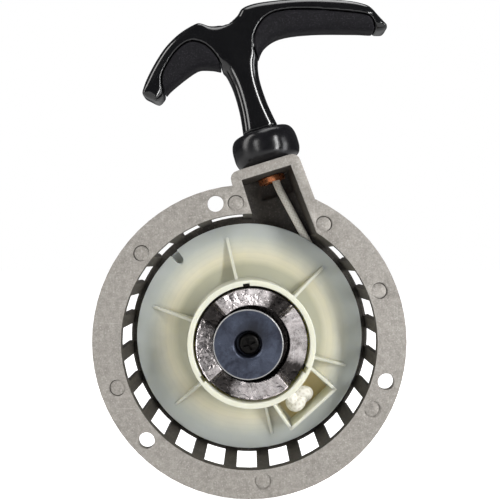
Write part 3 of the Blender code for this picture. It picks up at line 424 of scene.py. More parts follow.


# Cast metal: base and stained colours mixed (on the claw, painted dark reflections), specks and flecks
# lightened, grain as bump.
# low, if given, is the pair of depths over which the metal is painted darker as shade, fully so behind
# the second.
def castMetal(name, look):
    material, tree, shader, place = newMaterial(name, {"Metallic": look["metallic"]})
    inputs = {"Vector": place, "Grain Scale": look["grain"], "Stain Scale": look["stainScale"]}
    height, fleck, stainAndReflection = groupNode(tree, castGrain, inputs)
    colour = layered(tree, look["colour"], [
        (times(tree, stainAndReflection, look["stainAndReflection"]), look["stainAndReflectionColour"]),
        (times(tree, spanned(tree, height, 0.42, 0.6), look["speck"]), look["speckColour"]),
        (times(tree, fleck, look["fleck"]), look["fleckColour"]),
    ])
    colour = handled(tree, place, look, colour, look["fleckColour"])
    # painted shade: the claw's low flats and the sides behind them turn dark
    if "low" in look:
        depth = addNode(tree, "ShaderNodeSeparateXYZ", {0: place}).outputs[1]
        wobble = times(tree, minus(tree, height, 0.5), 0.0016)
        low = spanned(tree, plus(tree, depth, wobble), *look["low"])
        colour = mixed(tree, times(tree, low, 0.96), colour, look["lowShadeColour"])
    under = None
    if "waves" in look:
        under = bump(tree, noise(tree, place, look["waveScale"], 2.0, 0.5, 0.5), look["waves"], 0.0006)
    surfaced(tree, shader, look, colour, height, (0.35, 0.65), height, under)
    return material


# Distance from a line along Y through a place
def distanceFrom(tree, vector, place):
    parts = addNode(tree, "ShaderNodeSeparateXYZ", {0: vector}).outputs
    flat = addNode(tree, "ShaderNodeCombineXYZ", {0: parts[0], 2: parts[2]}).outputs[0]
    moved = addNode(tree, "ShaderNodeVectorMath", {0: flat, 1: place}, operation="SUBTRACT").outputs[0]
    return addNode(tree, "ShaderNodeVectorMath", {0: moved}, operation="LENGTH").outputs["Value"]


# Metal that was turned, drawn or pressed: mottled colour, handling marks, faint grain. rim, if given,
# is the radius beyond which its edge carries a painted highlight, and the colour darkens round another
# place.
def workedMetal(name, look):
    material, tree, shader, place = newMaterial(name, {"Metallic": look["metallic"]})
    patch = mottled(tree, place, look["patchScale"], look["sharp"])
    colour = mixed(tree, patch, look["colour"], look["patchColour"])
    colour = handled(tree, place, look, colour, look["markColour"])
    if "rim" in look:
        # darker round a place just above the cap's middle
        fromDark = distanceFrom(tree, place, look["darkPlace"])
        darkening = spanned(tree, fromDark, look["darkReach"], look["darkReach"] * 0.2)
        fromMiddle = distanceFrom(tree, place, look["rimPlace"])
        # painted highlight: a bright ring round the cap's edge
        rimHighlight = spanned(tree, fromMiddle, look["rim"] - 0.0003, look["rim"])
        colour = layered(tree, colour, [
            (times(tree, darkening, 0.9), look["darkColour"]), (rimHighlight, look["rimHighlightColour"])])
    surfaced(tree, shader, look, colour, patch, (0.0, 1.0), noise(tree, place, look["grain"], 3.0))
    return material


# Moulded plastic or rubber: a fine skin, faint flow marks and dust in the low places.
def mouldedPlastic(name, look):
    material, tree, shader, place = newMaterial(name, look["constants"])
    patch = mottled(tree, place, look["patchScale"], look["sharp"])
    skin = noise(tree, place, look["grain"], 2.0, 0.6)
    dust = spanned(tree, skin, look["speckFrom"], look["speckFrom"] + 0.08)
    colour = layered(tree, look["colour"], [
        (times(tree, patch, look["patch"]), look["patchColour"]),
        (times(tree, dust, look["speck"]), look["speckColour"]),
    ])
    colour = handled(tree, place, look, colour, look["speckColour"])
    surfaced(tree, shader, look, colour, patch, (0.0, 1.0), skin)
    return material


aluminiumLook = {
    "metallic": 0.35, "colour": (0.275, 0.256, 0.232), "stainAndReflectionColour": (0.20, 0.186, 0.168),
    "stainAndReflection": 0.5, "speckColour": (0.46, 0.435, 0.40), "speck": 0.6,
    "fleckColour": (0.60, 0.575, 0.54), "fleck": 0.4, "grain": 1500.0, "stainScale": 70.0,
    "markScale": 60.0, "marks": 0.25, "rough": (0.42, 0.62), "bump": 0.35, "bumpDepth": 0.00025,
}
clawLook = {
    # on the claw the stain mask and colour paint dark reflections
    "metallic": 1.0, "colour": (0.62, 0.57, 0.57), "stainAndReflectionColour": (0.09, 0.08, 0.075), "stainAndReflection": 0.8,
    "speckColour": (0.72, 0.68, 0.68), "speck": 0.6, "fleckColour": (0.85, 0.82, 0.82),
    "fleck": 0.4, "grain": 1100.0, "stainScale": 130.0, "markScale": 90.0, "marks": 0.5,
    # low and the low shade colour paint the shade on the low flats and the sides behind them
    "rough": (0.16, 0.36), "bump": 0.5, "bumpDepth": 0.0003, "low": (-0.0053, -0.0047),
    "lowShadeColour": (0.022, 0.019, 0.018), "waves": 0.9, "waveScale": 300.0,
}
copperLook = {
    "metallic": 0.8, "colour": (0.85, 0.33, 0.14), "patchColour": (0.45, 0.13, 0.05),
    "patchScale": 260.0, "sharp": 0.4, "markColour": (0.95, 0.62, 0.40), "markScale": 160.0,
    "marks": 0.5, "rough": (0.16, 0.34), "grain": 2400.0, "bump": 0.15, "bumpDepth": 0.0001,
}
capLook = {
    "metallic": 0.55, "colour": (0.070, 0.084, 0.122), "patchColour": (0.018, 0.021, 0.036),
    "patchScale": 120.0, "sharp": 0.75, "markColour": (0.24, 0.27, 0.36), "markScale": 110.0,
    "marks": 0.15, "rough": (0.24, 0.5), "grain": 1800.0, "bump": 0.25, "bumpDepth": 0.00012,
    # rim and the rim highlight colour paint a highlight round the edge
    "rim": 0.0143, "rimPlace": (-0.0004, 0, 0), "rimHighlightColour": (0.42, 0.42, 0.42),
    "darkPlace": (0.0010, 0, 0.0040), "darkReach": 0.0085,
    "darkColour": (0.010, 0.011, 0.015),
}
springLook = {
    "metallic": 1.0, "colour": (0.30, 0.30, 0.32), "patchColour": (0.16, 0.15, 0.16),
    "patchScale": 150.0, "sharp": 0.3, "markColour": (0.5, 0.5, 0.52), "markScale": 120.0,
    "marks": 0.4, "rough": (0.25, 0.42), "grain": 2200.0, "bump": 0.12, "bumpDepth": 0.00008,
}
zincLook = {
    "metallic": 1.0, "colour": (0.55, 0.55, 0.54), "patchColour": (0.34, 0.34, 0.33),
    "patchScale": 240.0, "sharp": 0.4, "markColour": (0.75, 0.75, 0.74), "markScale": 140.0,
    "marks": 0.4, "rough": (0.24, 0.42), "grain": 2400.0, "bump": 0.15, "bumpDepth": 0.00008,
}
glossLook = {
    "constants": {"Coat Weight": 0.35, "Coat Roughness": 0.05}, "colour": (0.0025, 0.0025, 0.003),
    "patchColour": (0.006, 0.006, 0.0065), "patch": 0.6, "patchScale": 60.0, "sharp": 0.2,
    "speckColour": (0.03, 0.03, 0.032), "speck": 0.12, "speckFrom": 0.66, "grain": 3200.0,
    "markScale": 50.0, "marks": 0.12, "rough": (0.10, 0.2), "bump": 0.04, "bumpDepth": 0.00005,
}
gripLook = {
    "constants": {"Specular IOR Level": 0.14}, "colour": (0.004, 0.0038, 0.005),
    "patchColour": (0.010, 0.0095, 0.012), "patch": 0.6, "patchScale": 90.0, "sharp": 0.3,
    "speckColour": (0.045, 0.042, 0.05), "speck": 0.6, "speckFrom": 0.58, "grain": 2400.0,
    "markScale": 60.0, "marks": 0.15, "rough": (0.55, 0.75), "bump": 0.5, "bumpDepth": 0.0002,
}
rubberLook = {
    "constants": {"Specular IOR Level": 0.42}, "colour": (0.004, 0.004, 0.005),
    "patchColour": (0.011, 0.0105, 0.012), "patch": 0.7, "patchScale": 110.0, "sharp": 0.3,
    "speckColour": (0.05, 0.05, 0.05), "speck": 0.2, "speckFrom": 0.64, "grain": 2600.0,
    "markScale": 60.0, "marks": 0.1, "rough": (0.14, 0.26), "bump": 0.2, "bumpDepth": 0.0001,
}

finishes = {
    "cast_aluminium": castMetal("aluminiumCast", aluminiumLook),
    "cast_steel": castMetal("clawCast", clawLook),
    "copper": workedMetal("copperDrawn", copperLook),
    "blued_steel": workedMetal("capBlued", capLook),
    "spring_steel": workedMetal("springDrawn", springLook),
    "zinc_steel": workedMetal("zincPlate", zincLook),
    "gloss_black": mouldedPlastic("handleGloss", glossLook),
    "soft_black": mouldedPlastic("gripSoft", gripLook),
    "black_rubber": mouldedPlastic("collarRubber", rubberLook),
}

# Painted shade: a dark brown for the housing's inner walls, vent sides, rope box and flange grooves, with
# grain and flecks
castPaintedShadeLook = {
    "metallic": 0.2, "colour": (0.048, 0.041, 0.034), "stainAndReflectionColour": (0.03, 0.026, 0.022),
    "stainAndReflection": 0.7, "speckColour": (0.13, 0.115, 0.10), "speck": 0.4,
    "fleckColour": (0.30, 0.28, 0.26), "fleck": 0.2, "grain": 1300.0, "stainScale": 90.0,
    "markScale": 60.0, "marks": 0.1, "rough": (0.55, 0.75), "bump": 0.4, "bumpDepth": 0.00025,
}
castPaintedShade = castMetal("aluminiumPaintedShade", castPaintedShadeLook)
screwLook = {
    "metallic": 0.9, "colour": (0.014, 0.013, 0.012), "patchColour": (0.005, 0.005, 0.005),
    "patchScale": 500.0, "sharp": 0.5, "markColour": (0.20, 0.19, 0.18), "markScale": 200.0,
    "marks": 0.6, "rough": (0.28, 0.5), "grain": 2400.0, "bump": 0.3, "bumpDepth": 0.00012,
}
screwBlack = workedMetal("screwBlack", screwLook)

# Natural nylon. The rope shows through the front disc as a cream band with faint turns, and the knot's
# box is amber inside. Distances here are metres, as the shader reads them.
nylonLook = {
    "reach": 0.052, "wobble": 0.0016, "mottleScale": 55.0, "sharp": 0.1, "rough": (0.30, 0.46),
    "bump": 0.12, "bumpDepth": 0.00015, "skin": 900.0, "markScale": 55.0, "marks": 0.05,
    "markColour": (0.85, 0.85, 0.78), "patch": 0.2, "patchColour": (0.42, 0.43, 0.34),
    "turnPitch": 0.0025, "turnMiddle": 0.75, "turnSpan": (0.12, 0.08), "turnShade": 0.04,
    "turnColour": (0.30, 0.27, 0.17), "hub": (0.68, 0.68, 0.57), "hubSpan": (0.0193, 0.0203),
    "amber": (0.76, 0.60, 0.27), "boxFrom": 0.0272, "boxTo": 0.0404, "boxHalf": 0.0104,
    "bands": [
        (0.530, (0.50, 0.50, 0.385)), (0.620, (0.52, 0.51, 0.38)), (0.675, (0.80, 0.75, 0.54)),
        (0.720, (0.86, 0.80, 0.58)), (0.770, (0.76, 0.735, 0.58)), (0.827, (0.62, 0.63, 0.54)),
        (0.885, (0.50, 0.53, 0.50)), (0.970, (0.44, 0.47, 0.46)),
    ],
}
knotBoxAngle = -48.0


# 1 inside the knot's box, by the distance out along its middle line and the distance beside it
def insideKnotBox(tree, east, north):
    look, turn = nylonLook, math.radians(knotBoxAngle)
    cos, sin = math.cos(turn), math.sin(turn)
    out = plus(tree, times(tree, east, cos), times(tree, north, sin))
    side = minus(tree, times(tree, north, cos), times(tree, east, sin))
    near = spanned(tree, out, look["boxFrom"] - 0.001, look["boxFrom"])
    far = spanned(tree, out, look["boxTo"] + 0.001, look["boxTo"])
    beside = spanned(tree, calc(tree, "ABSOLUTE", side), look["boxHalf"] + 0.0008, look["boxHalf"])
    return times(tree, times(tree, near, far), beside)


# Colour goes by the distance from the crank axis on the disc, and is even on what stands before it.
def makeNylon():
    look = nylonLook
    material, tree, shader, place = newMaterial("nylonNatural", {
        "IOR": 1.52, "Coat Weight": 0.15, "Subsurface Weight": 0.6, "Subsurface Scale": 0.005,
        "Subsurface Radius": (1.0, 0.95, 0.7)})
    east, depth, north = addNode(tree, "ShaderNodeSeparateXYZ", {0: place}).outputs
    distance = distanceFrom(tree, place, (0, 0, 0))
    patch = mottled(tree, place, look["mottleScale"], look["sharp"])
    wobble = times(tree, minus(tree, patch, 0.5), look["wobble"])
    share = calc(tree, "DIVIDE", plus(tree, distance, wobble), look["reach"])
    turns = calc(tree, "SINE", times(tree, distance, math.tau / look["turnPitch"]))
    fromBand = calc(tree, "ABSOLUTE", minus(tree, share, look["turnMiddle"]))
    onTurn = times(tree, spanned(tree, turns, 0.2, 1.0), spanned(tree, fromBand, *look["turnSpan"]))
    disc = layered(tree, ramp(tree, share, look["bands"]), [
        (times(tree, onTurn, look["turnShade"]), look["turnColour"]),
        (insideKnotBox(tree, east, north), look["amber"]),
    ])
    colour = mixed(tree, spanned(tree, depth, *look["hubSpan"]), look["hub"], disc)
    colour = mixed(tree, times(tree, patch, look["patch"]), colour, look["patchColour"])
    colour = handled(tree, place, look, colour, look["markColour"])
    surfaced(tree, shader, look, colour, patch, (0.0, 1.0), noise(tree, place, look["skin"], 3.0))
    return material


# Rope fibre: the braid runs on the piece's own map, along in metres and round in turns.
ropeLook = {
    "light": (0.95, 0.93, 0.85), "deep": (0.76, 0.725, 0.63), "fleck": (0.78, 0.72, 0.62),
    "along": 300.0, "strands": 3.0, "dirtScale": 260.0, "dirtSharp": 0.6, "dirt": 0.25, "bump": 0.5,
    "bumpDepth": 0.0003,
}


def makeRopeFibre():
    look = ropeLook
    material, tree, shader, place = newMaterial("ropeFibre", {"Roughness": 0.85, "Sheen Weight": 0.3})
    lay = addNode(tree, "ShaderNodeUVMap", uv_map="lay").outputs[0]
    inputs = {"Vector": lay, "Along": look["along"], "Strands": look["strands"]}
    height, shade = groupNode(tree, braid, inputs)
    dirt = times(tree, mottled(tree, place, look["dirtScale"], look["dirtSharp"]), look["dirt"])
    colour = layered(tree, look["deep"], [(shade, look["light"]), (dirt, look["fleck"])])
    feed(tree, shader.inputs["Base Color"], colour)
    feed(tree, shader.inputs["Normal"], bump(tree, height, look["bump"], look["bumpDepth"]))
    return material


finishes["natural_nylon"] = makeNylon()
finishes["rope_fibre"] = makeRopeFibre()
nodeSlots = {
    "lock_washer": "blued_steel", "knot_washer": "zinc_steel", "spacer_sleeve": "zinc_steel",
    "thrust_washer": "spring_steel",
}
print("materials ready:", len(finishes))


# Gives a piece its finish, its body and the CAD nodes that it stands for
def placed(piece, body, slot, replaced):
    piece.data.materials.clear()
    piece.data.materials.append(finishes[slot])
    if body:
        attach(piece, body)
    if replaced:
        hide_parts(*replaced)
    print("piece", piece.name, "points", len(piece.data.vertices))
    return piece


# ---- housing: the casting's own shape, merged, with bevelled edges; its inner walls carry painted shade
housingLook = {
    "edge": 0.3, "edgeSteps": 2, "edgeAngle": 38.0, "wall": 57.6, "floorDepth": 2.5,
    "flangeSkin": 0.3, "boxMiddle": (-4.5, 55.0), "boxHalf": (13.1, 12.2),
    "markAngles": (21.5, 57.7, 95.5, 140.6, 199.2, 275.6, 331.4), "markPlace": 59.2,
    "groove": (3.15, 3.6), "grooveDepth": 0.3, "markDepth": 0.4, "markReach": 8, "markRise": 90,
    "floorReach": 14, "ventFacing": 0.6, "inward": -0.3, "forward": -0.4, "boxInward": -0.5,
}


def mergedCopy(nodeName, pieceName):
    mesh = nodes[nodeName].data.copy()
    mesh.name = pieceName
    return settled(linked(pieceName, mesh), housingLook["edgeAngle"])


# A face is an inner one if it looks at the crank axis, at the middle of the rope box, along a vent's
# side, or forwards from behind the flange, or if it lies in a groove not too far below the box.
# Faces found here take the painted shade colour.
def paintedShadeFaces(mesh):
    h = housingLook
    centre = np.zeros(len(mesh.polygons) * 3)
    normal = np.zeros(len(mesh.polygons) * 3)
    mesh.polygons.foreach_get("center", centre)
    mesh.polygons.foreach_get("normal", normal)
    x, depth, z = centre.reshape(-1, 3).T / mm
    toX, toDepth, toZ = normal.reshape(-1, 3).T
    radius = np.maximum(np.hypot(x, z), 1e-6)
    outward, sideways = (toX * x + toZ * z) / radius, np.abs(toX * z - toZ * x) / radius
    raised, behind = depth > h["flangeSkin"], depth > h["floorDepth"]
    ventSide = (sideways > h["ventFacing"]) & behind
    bowl = (radius < h["wall"]) & raised & ((outward < h["inward"]) | ventSide)
    floor = (toDepth < h["forward"]) & behind & (radius < h["wall"] + h["floorReach"])
    cos, sin = math.cos(pullLine["tilt"]), math.sin(pullLine["tilt"])
    across = x * cos + z * sin - pullLine["offset"] - h["boxMiddle"][0]
    rise = z * cos - x * sin - h["boxMiddle"][1]
    toAcross, toRise = toX * cos + toZ * sin, toZ * cos - toX * sin
    inBox = (np.abs(across) < h["boxHalf"][0]) & (np.abs(rise) < h["boxHalf"][1])
    box = inBox & raised & (toAcross * across + toRise * rise < h["boxInward"])
    grooveTop = h["markDepth"] + 0.02
    inGroove = (depth > grooveTop) & (depth < grooveTop + h["grooveDepth"]) & ~inBox
    nearBox = (radius < h["wall"] + h["markReach"]) & (np.abs(rise) < h["markRise"])
    groove = inGroove & (radius > h["wall"]) & nearBox
    return bowl | floor | box | groove


# Fine rings pressed into the marks that the ejector pins left on the flange
def makeGrooves():
    h = housingLook
    inside, outside = h["groove"]
    low, high = h["markDepth"] - 0.3, h["markDepth"] + h["grooveDepth"]
    profile = np.array([(outside, low), (outside, high), (inside, high), (inside, low)])
    rings = []
    for angle in h["markAngles"]:
        turn = math.radians(angle)
        place = h["markPlace"] * np.array([math.cos(turn), 0, math.sin(turn)])
        rings.append(gridPiece("groove", turned(profile, 40) + place, True, True))
    bm = bmesh.new()
    for ring in rings:
        bm.from_mesh(ring.data)
    bm.to_mesh(rings[0].data)
    bm.free()
    for ring in rings[1:]:
        bpy.data.objects.remove(ring)
    return rings[0]


# The CAD shape with its grooves cut, its edges bevelled and its inner faces in a darker material that
# paints their shade
def makeHousing():
    h = housingLook
    piece = mergedCopy("housing", "housingCasting")
    grooves = makeGrooves()
    booleaned(piece, grooves, "DIFFERENCE")
    baked(piece, [grooves])
    # painted shade: faces marked 1 take the dark second material
    inner = paintedShadeFaces(piece.data).astype(np.int32)
    bevel = piece.modifiers.new("wornEdges", "BEVEL")
    bevel.width, bevel.segments = h["edge"] * mm, h["edgeSteps"]
    bevel.limit_method, bevel.angle_limit = "ANGLE", math.radians(h["edgeAngle"])
    bevel.use_clamp_overlap = bevel.harden_normals = True
    placed(piece, "housing", "cast_aluminium", ["housing"])
    piece.data.materials.append(castPaintedShade)
    piece.data.polygons.foreach_set("material_index", inner)
    return piece


makeHousing()

# ---- eyelet: a rolled copper tube with a lip on each side of the wall
eyeletShape = {
    "bore": 3.8, "tube": 5.0, "lip": 6.4, "shift": -1.6, "top": 71.1, "inside": 66.75,
    "lipDrop": 2.6, "rim": 0.8,
}


def makeEyelet():
    e = eyeletShape
    low, top = e["inside"] - 0.3, e["top"] + 0.3
    corners = [
        (e["bore"], low - e["lipDrop"] * 0.5, 0.8), (e["bore"] + 0.8, low - e["lipDrop"], 0.9),
        (e["lip"] - 0.3, low - e["lipDrop"], 1.1), (e["lip"], low, 0.2), (e["tube"], low, 0.1),
        (e["tube"], top, 0.1), (e["lip"], top, 0.2), (e["lip"], top + e["rim"], 0.35),
        (e["bore"] + 0.6, top + e["rim"], 0.5), (e["bore"], e["top"], 0.5),
    ]
    profile, _ = rounded(corners, 6)
    grid = turned(profile, 128, "pull", e["shift"])
    piece = gridPiece("copperEyelet", grid, True, True, crease=60.0)
    return placed(piece, "housing", "copper", ["rope_eyelet"])


makeEyelet()

# ---- pulley: a turned body with keyways and a rim notch, ribs and a walled box for the knot
pulleyShape = {
    "bore": 9.3, "floor": 14.0, "hubBore": 24.3, "hub": 26.6, "front": -8.3, "discFront": 20.4,
    "discBack": 27.6, "grooveFront": 21.8, "grooveBack": 26.2, "rim": 51.2, "drum": 34.0,
    "pocketOut": 32.0, "pocketIn": 15.3, "pocketFloor": 23.4, "sleeveBack": 35.5, "keyDepth": 1.0,
    "keyHalf": 1.4, "lean": 1.0, "keyAngles": (95.0, 215.0, 335.0), "keyEnd": 11.0,
    "notchAngle": 132.5, "notchHalf": 1.9, "notchDepth": 5.8, "ribCount": 6, "ribAngle": 43.0,
    "ribReach": 19.4, "ribRise": 10.0, "ribThick": 1.4, "boxAngle": knotBoxAngle, "boxReach": 15.2,
    "boxInner": 11.8, "boxOuter": 13.4, "boxWall": 1.4, "boxRise": 12.4,
}


# The hub has play on its post and stands a little askew: the nearer the front, the further towards +X.
def leaned(grid):
    p = pulleyShape
    share = np.clip((p["discFront"] - grid[..., 1]) / (p["discFront"] - p["front"]), 0, 1)
    moved = grid.copy()
    moved[..., 0] += p["lean"] * share
    return moved


# radius = profile radius + keyway depth inside the key windows - notch depth inside the notch window
def makePulleyBody():
    p = pulleyShape
    bore, hub, hubBore, rim, drum = p["bore"], p["hub"], p["hubBore"], p["rim"], p["drum"]
    front, disc, back, keyEnd = p["front"], p["discFront"], p["discBack"], p["keyEnd"]
    grooveFront, grooveBack, notchEnd = p["grooveFront"], p["grooveBack"], rim - p["notchDepth"] - 0.3
    # radius, height, rounding, share of a keyway, share of the notch
    corners = np.array([
        (bore, p["floor"], 0.3, 0, 0), (hubBore, p["floor"], 0.8, 0, 0),
        (hubBore, keyEnd + 0.02, 0, 0, 0), (hubBore, keyEnd, 0, 1, 0), (hubBore, front, 0.45, 1, 0),
        (hub, front, 0.5, 0, 0), (hub, disc, 0.9, 0, 0), (notchEnd, disc, 0, 0, 0),
        (rim - 0.6, disc, 0, 0, 1), (rim, disc, 0.35, 0, 1), (rim, grooveFront, 0.35, 0, 1),
        (notchEnd, grooveFront, 0, 0, 0), (drum, grooveFront, 0.4, 0, 0), (drum, grooveBack, 0.4, 0, 0),
        (rim, grooveBack, 0.35, 0, 0), (rim, back, 0.35, 0, 0), (p["pocketOut"], back, 0.3, 0, 0),
        (p["pocketOut"], p["pocketFloor"], 0.5, 0, 0), (p["pocketIn"], p["pocketFloor"], 0.5, 0, 0),
        (p["pocketIn"], p["sleeveBack"], 0.4, 0, 0), (bore, p["sleeveBack"], 0.3, 0, 0),
    ], float)
    profile, owner = rounded(corners[:, :3], 4)
    keyShare, notchShare = corners[owner, 3], corners[owner, 4]
    keyHalf = math.degrees(math.asin(p["keyHalf"] / hubBore))
    notchHalf = math.degrees(math.asin(p["notchHalf"] / (rim - 2.5)))
    edges = [a + s * keyHalf for a in p["keyAngles"] for s in (-1, 1)]
    edges += [p["notchAngle"] - notchHalf, p["notchAngle"] + notchHalf]
    degrees = anglesWithEdges(0.75, edges)
    key = window(degrees, p["keyAngles"], keyHalf)
    away = np.clip(np.abs(degrees - p["notchAngle"]) / notchHalf, 0, 1)
    depth = p["notchDepth"] - p["notchHalf"] * (1 - np.sqrt(1 - away ** 2))
    notch = window(degrees, [p["notchAngle"]], notchHalf) * depth
    radius = profile[None, :, 0] + np.outer(key, keyShare) * p["keyDepth"] - np.outer(notch, notchShare)
    grid = crankPoints(radius, degrees[:, None], profile[None, :, 1])
    piece = gridPiece("pulleyBody", leaned(grid), True, True, crease=35.0)
    return placed(piece, "pulley", "natural_nylon", ["pulley"])


# Each rib is a wedge standing on the disc against the hub; their edges are rounded by a bevel.
def makePulleyRibs():
    p = pulleyShape
    angle = p["ribAngle"] + np.arange(p["ribCount"]) * 360.0 / p["ribCount"]
    inner, outer = p["hub"] - 0.8, p["hub"] + p["ribReach"]
    floor, top = p["discFront"] + 0.6, p["discFront"] - p["ribRise"]
    wedge = np.array([(inner, floor), (outer, floor), (outer, floor - 1.0), (inner, top)])
    half = p["ribThick"] / 2
    out = crankPoints(1.0, angle, 0.0)
    side = np.stack([-out[:, 2], 0 * angle, out[:, 0]], -1)
    face = out[:, None] * wedge[None, :, :1] + np.array([0, 1, 0]) * wedge[None, :, 1:]
    points = np.concatenate([face - side[:, None] * half, face + side[:, None] * half], 1)
    quads = np.array([(0, 1, 2, 3), (7, 6, 5, 4), (0, 4, 5, 1), (1, 5, 6, 2), (2, 6, 7, 3), (3, 7, 4, 0)])
    faces = (quads[None] + np.arange(len(angle))[:, None, None] * 8).reshape(-1, 4)
    mesh = bpy.data.meshes.new("pulleyRibs")
    mesh.from_pydata((leaned(points).reshape(-1, 3) * mm).tolist(), [], faces.tolist())
    piece = settled(linked("pulleyRibs", mesh), 35.0)
    bevel = piece.modifiers.new("roundedEdges", "BEVEL")
    bevel.width, bevel.segments = 0.3 * mm, 3
    return placed(piece, "pulley", "natural_nylon", [])


# A rounded wall section carried round three sides of the box.
def makeKnotBox():
    p = pulleyShape
    turn = math.radians(p["boxAngle"])
    out = np.array([math.cos(turn), math.sin(turn)])
    across = np.array([-out[1], out[0]])
    inner, outer = p["hub"] - 0.5, p["hub"] + p["boxReach"] - p["boxWall"] / 2
    low, high = p["boxInner"] - p["boxWall"] / 2, p["boxOuter"] - p["boxWall"] / 2
    plan = np.array([
        (inner, -low), (outer - 2.0, -high), (outer - 0.6, -high + 0.2), (outer, -high + 1.4),
        (outer, high - 1.4), (outer - 0.6, high - 0.2), (outer - 2.0, high), (inner, low)])
    path = through(plan, 6, False)
    centre = path[:, :1] * out + path[:, 1:] * across
    step = np.gradient(path, axis=0)
    step /= np.linalg.norm(step, axis=1, keepdims=True)
    normal = step[:, 1:] * out - step[:, :1] * across
    top, foot, half = p["discFront"] - p["boxRise"], p["discFront"] + 0.6, p["boxWall"] / 2
    section, _ = rounded([(-half, foot, 0), (half, foot, 0), (half, top, 0.4), (-half, top, 0.4)], 4)
    flat = centre[:, None] + normal[:, None] * section[None, :, :1]
    depth = np.broadcast_to(section[None, :, 1], flat.shape[:2])
    grid = np.stack([flat[..., 0], depth, flat[..., 1]], -1)
    piece = gridPiece("knotBox", cappedRows(leaned(grid)), False, True, crease=35.0)
    return placed(piece, "pulley", "natural_nylon", [])


# Adds a row collapsed to its middle at each end of a grid, so that the ends are closed.
def cappedRows(grid):
    first = np.broadcast_to(grid[0].mean(0), grid[0].shape)[None]
    last = np.broadcast_to(grid[-1].mean(0), grid[-1].shape)[None]
    return np.concatenate([first, grid, last])


makePulleyBody()
makePulleyRibs()
makeKnotBox()

# ---- rope: wound on the drum, led to the eyelet, up into the handle, and knotted at both ends
ropeShape = {
    "radius": 1.8, "stemRadius": 1.75, "turns": 3.21, "turnLength": 250, "inner": 35.65,
    "outer": 43.8, "flat": 0.70, "wide": 1.18, "boxTop": 66.75, "boxWall": 4.35, "mouthDrop": 4.1,
    "stemTop": 56.0, "spacing": 0.6, "sides": 18, "fine": 0.25, "fineSides": 32,
}


# Relief of the braid: the higher of two crossing sets of ridges, 4% of the radius
def braidRelief(along, around):
    phase = 0.3 * along
    one = np.abs(np.sin(2 * np.pi * (phase + 3 * around)))
    other = np.abs(np.sin(2 * np.pi * (phase - 3 * around)))
    return 0.96 + 0.04 * np.maximum(one, other)


# The angle at which a line from the eyelet's mouth touches the outermost turn, and the mouth's place
def ropeLeaves():
    r = ropeShape
    mouth = pullToCrank(0.0, r["boxTop"] - r["mouthDrop"], pullLine["ropeDepth"])
    reach = math.hypot(mouth[0], mouth[2])
    toMouth = math.atan2(mouth[2], mouth[0])
    return math.degrees(toMouth - math.acos(r["outer"] / reach)), mouth


# radius grows evenly with the angle from the drum to the outermost turn
def makeWoundRope():
    r = ropeShape
    last, _ = ropeLeaves()
    share = np.linspace(0, 1, int(r["turns"] * r["turnLength"] / r["spacing"]))
    degrees = last - r["turns"] * 360.0 * (1 - share)
    radius = r["inner"] + (r["outer"] - r["inner"]) * share
    path = crankPoints(radius, degrees, pullLine["ropeDepth"] + 0 * share)
    piece = tube("ropeWound", path, r["radius"], r["sides"], (0, 1, 0), (r["flat"], r["wide"]))
    return placed(piece, "pulley", "rope_fibre", ["rope_wound"])


# Off the drum along the turn, straight to the eyelet's mouth, and a little way up inside the eyelet
def makeRopeLead():
    r = ropeShape
    last, mouth = ropeLeaves()
    depth = pullLine["ropeDepth"]
    before = crankPoints(r["outer"], last - np.array([9.0, 6.0, 3.0]), depth + np.zeros(3))
    start = crankPoints(np.array([r["outer"]]), np.array([last]), depth + np.zeros(1))[0]
    straight = start + (mouth - start) * np.array([0.0, 0.25, 0.5, 0.75, 0.96])[:, None]
    end = pullToCrank(np.zeros(2), r["boxTop"] + np.array([-1.0, r["boxWall"] / 2]), depth)
    path = evenly(through(np.vstack([before, straight, end]), 12, False), r["fine"])
    piece = tube("ropeLead", path, r["radius"], r["fineSides"], (0, 1, 0), (1, 1), braidRelief)
    return placed(piece, "housing", "rope_fibre", ["rope_lead"])


# From inside the eyelet to the knot. It bends nowhere.
def makeRopeStem():
    r = ropeShape
    foot, top = r["boxTop"] + r["boxWall"] / 2 + 0.1, pullLine["seat"] + r["stemTop"]
    rise = np.arange(foot, top, r["fine"])
    path = pullToCrank(0 * rise, rise, pullLine["ropeDepth"])
    piece = tube("ropeStem", path, r["stemRadius"], r["fineSides"], (0, 1, 0), (1, 1), braidRelief)
    placed(piece, None, "rope_fibre", ["rope_stem"])
    start = Vector(pullToCrank(0.0, foot, pullLine["ropeDepth"]) * mm)
    end = Vector(pullToCrank(0.0, pullLine["seat"] + 3.0, pullLine["ropeDepth"]) * mm)
    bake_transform(piece)
    return piece


# A knot is a trefoil: two turns round while the strand weaves in and out three times.
def knotPath(half, radius):
    t = np.linspace(0, 2 * np.pi, 300, endpoint=False)
    path = np.stack([np.sin(t) + 2 * np.sin(2 * t), np.cos(t) - 2 * np.cos(2 * t), -np.sin(3 * t)], -1)
    reach = np.array(half) - radius
    return path / np.array([3.0, 3.0, 1.0]) * reach


knotShape = {
    "half": (7.4, 6.3, 4.6), "strand": 2.55, "shift": -1.6, "lift": 0.7, "topHalf": (4.6, 4.2, 3.4),
    "topStrand": 1.4, "topRise": 59.3,
}


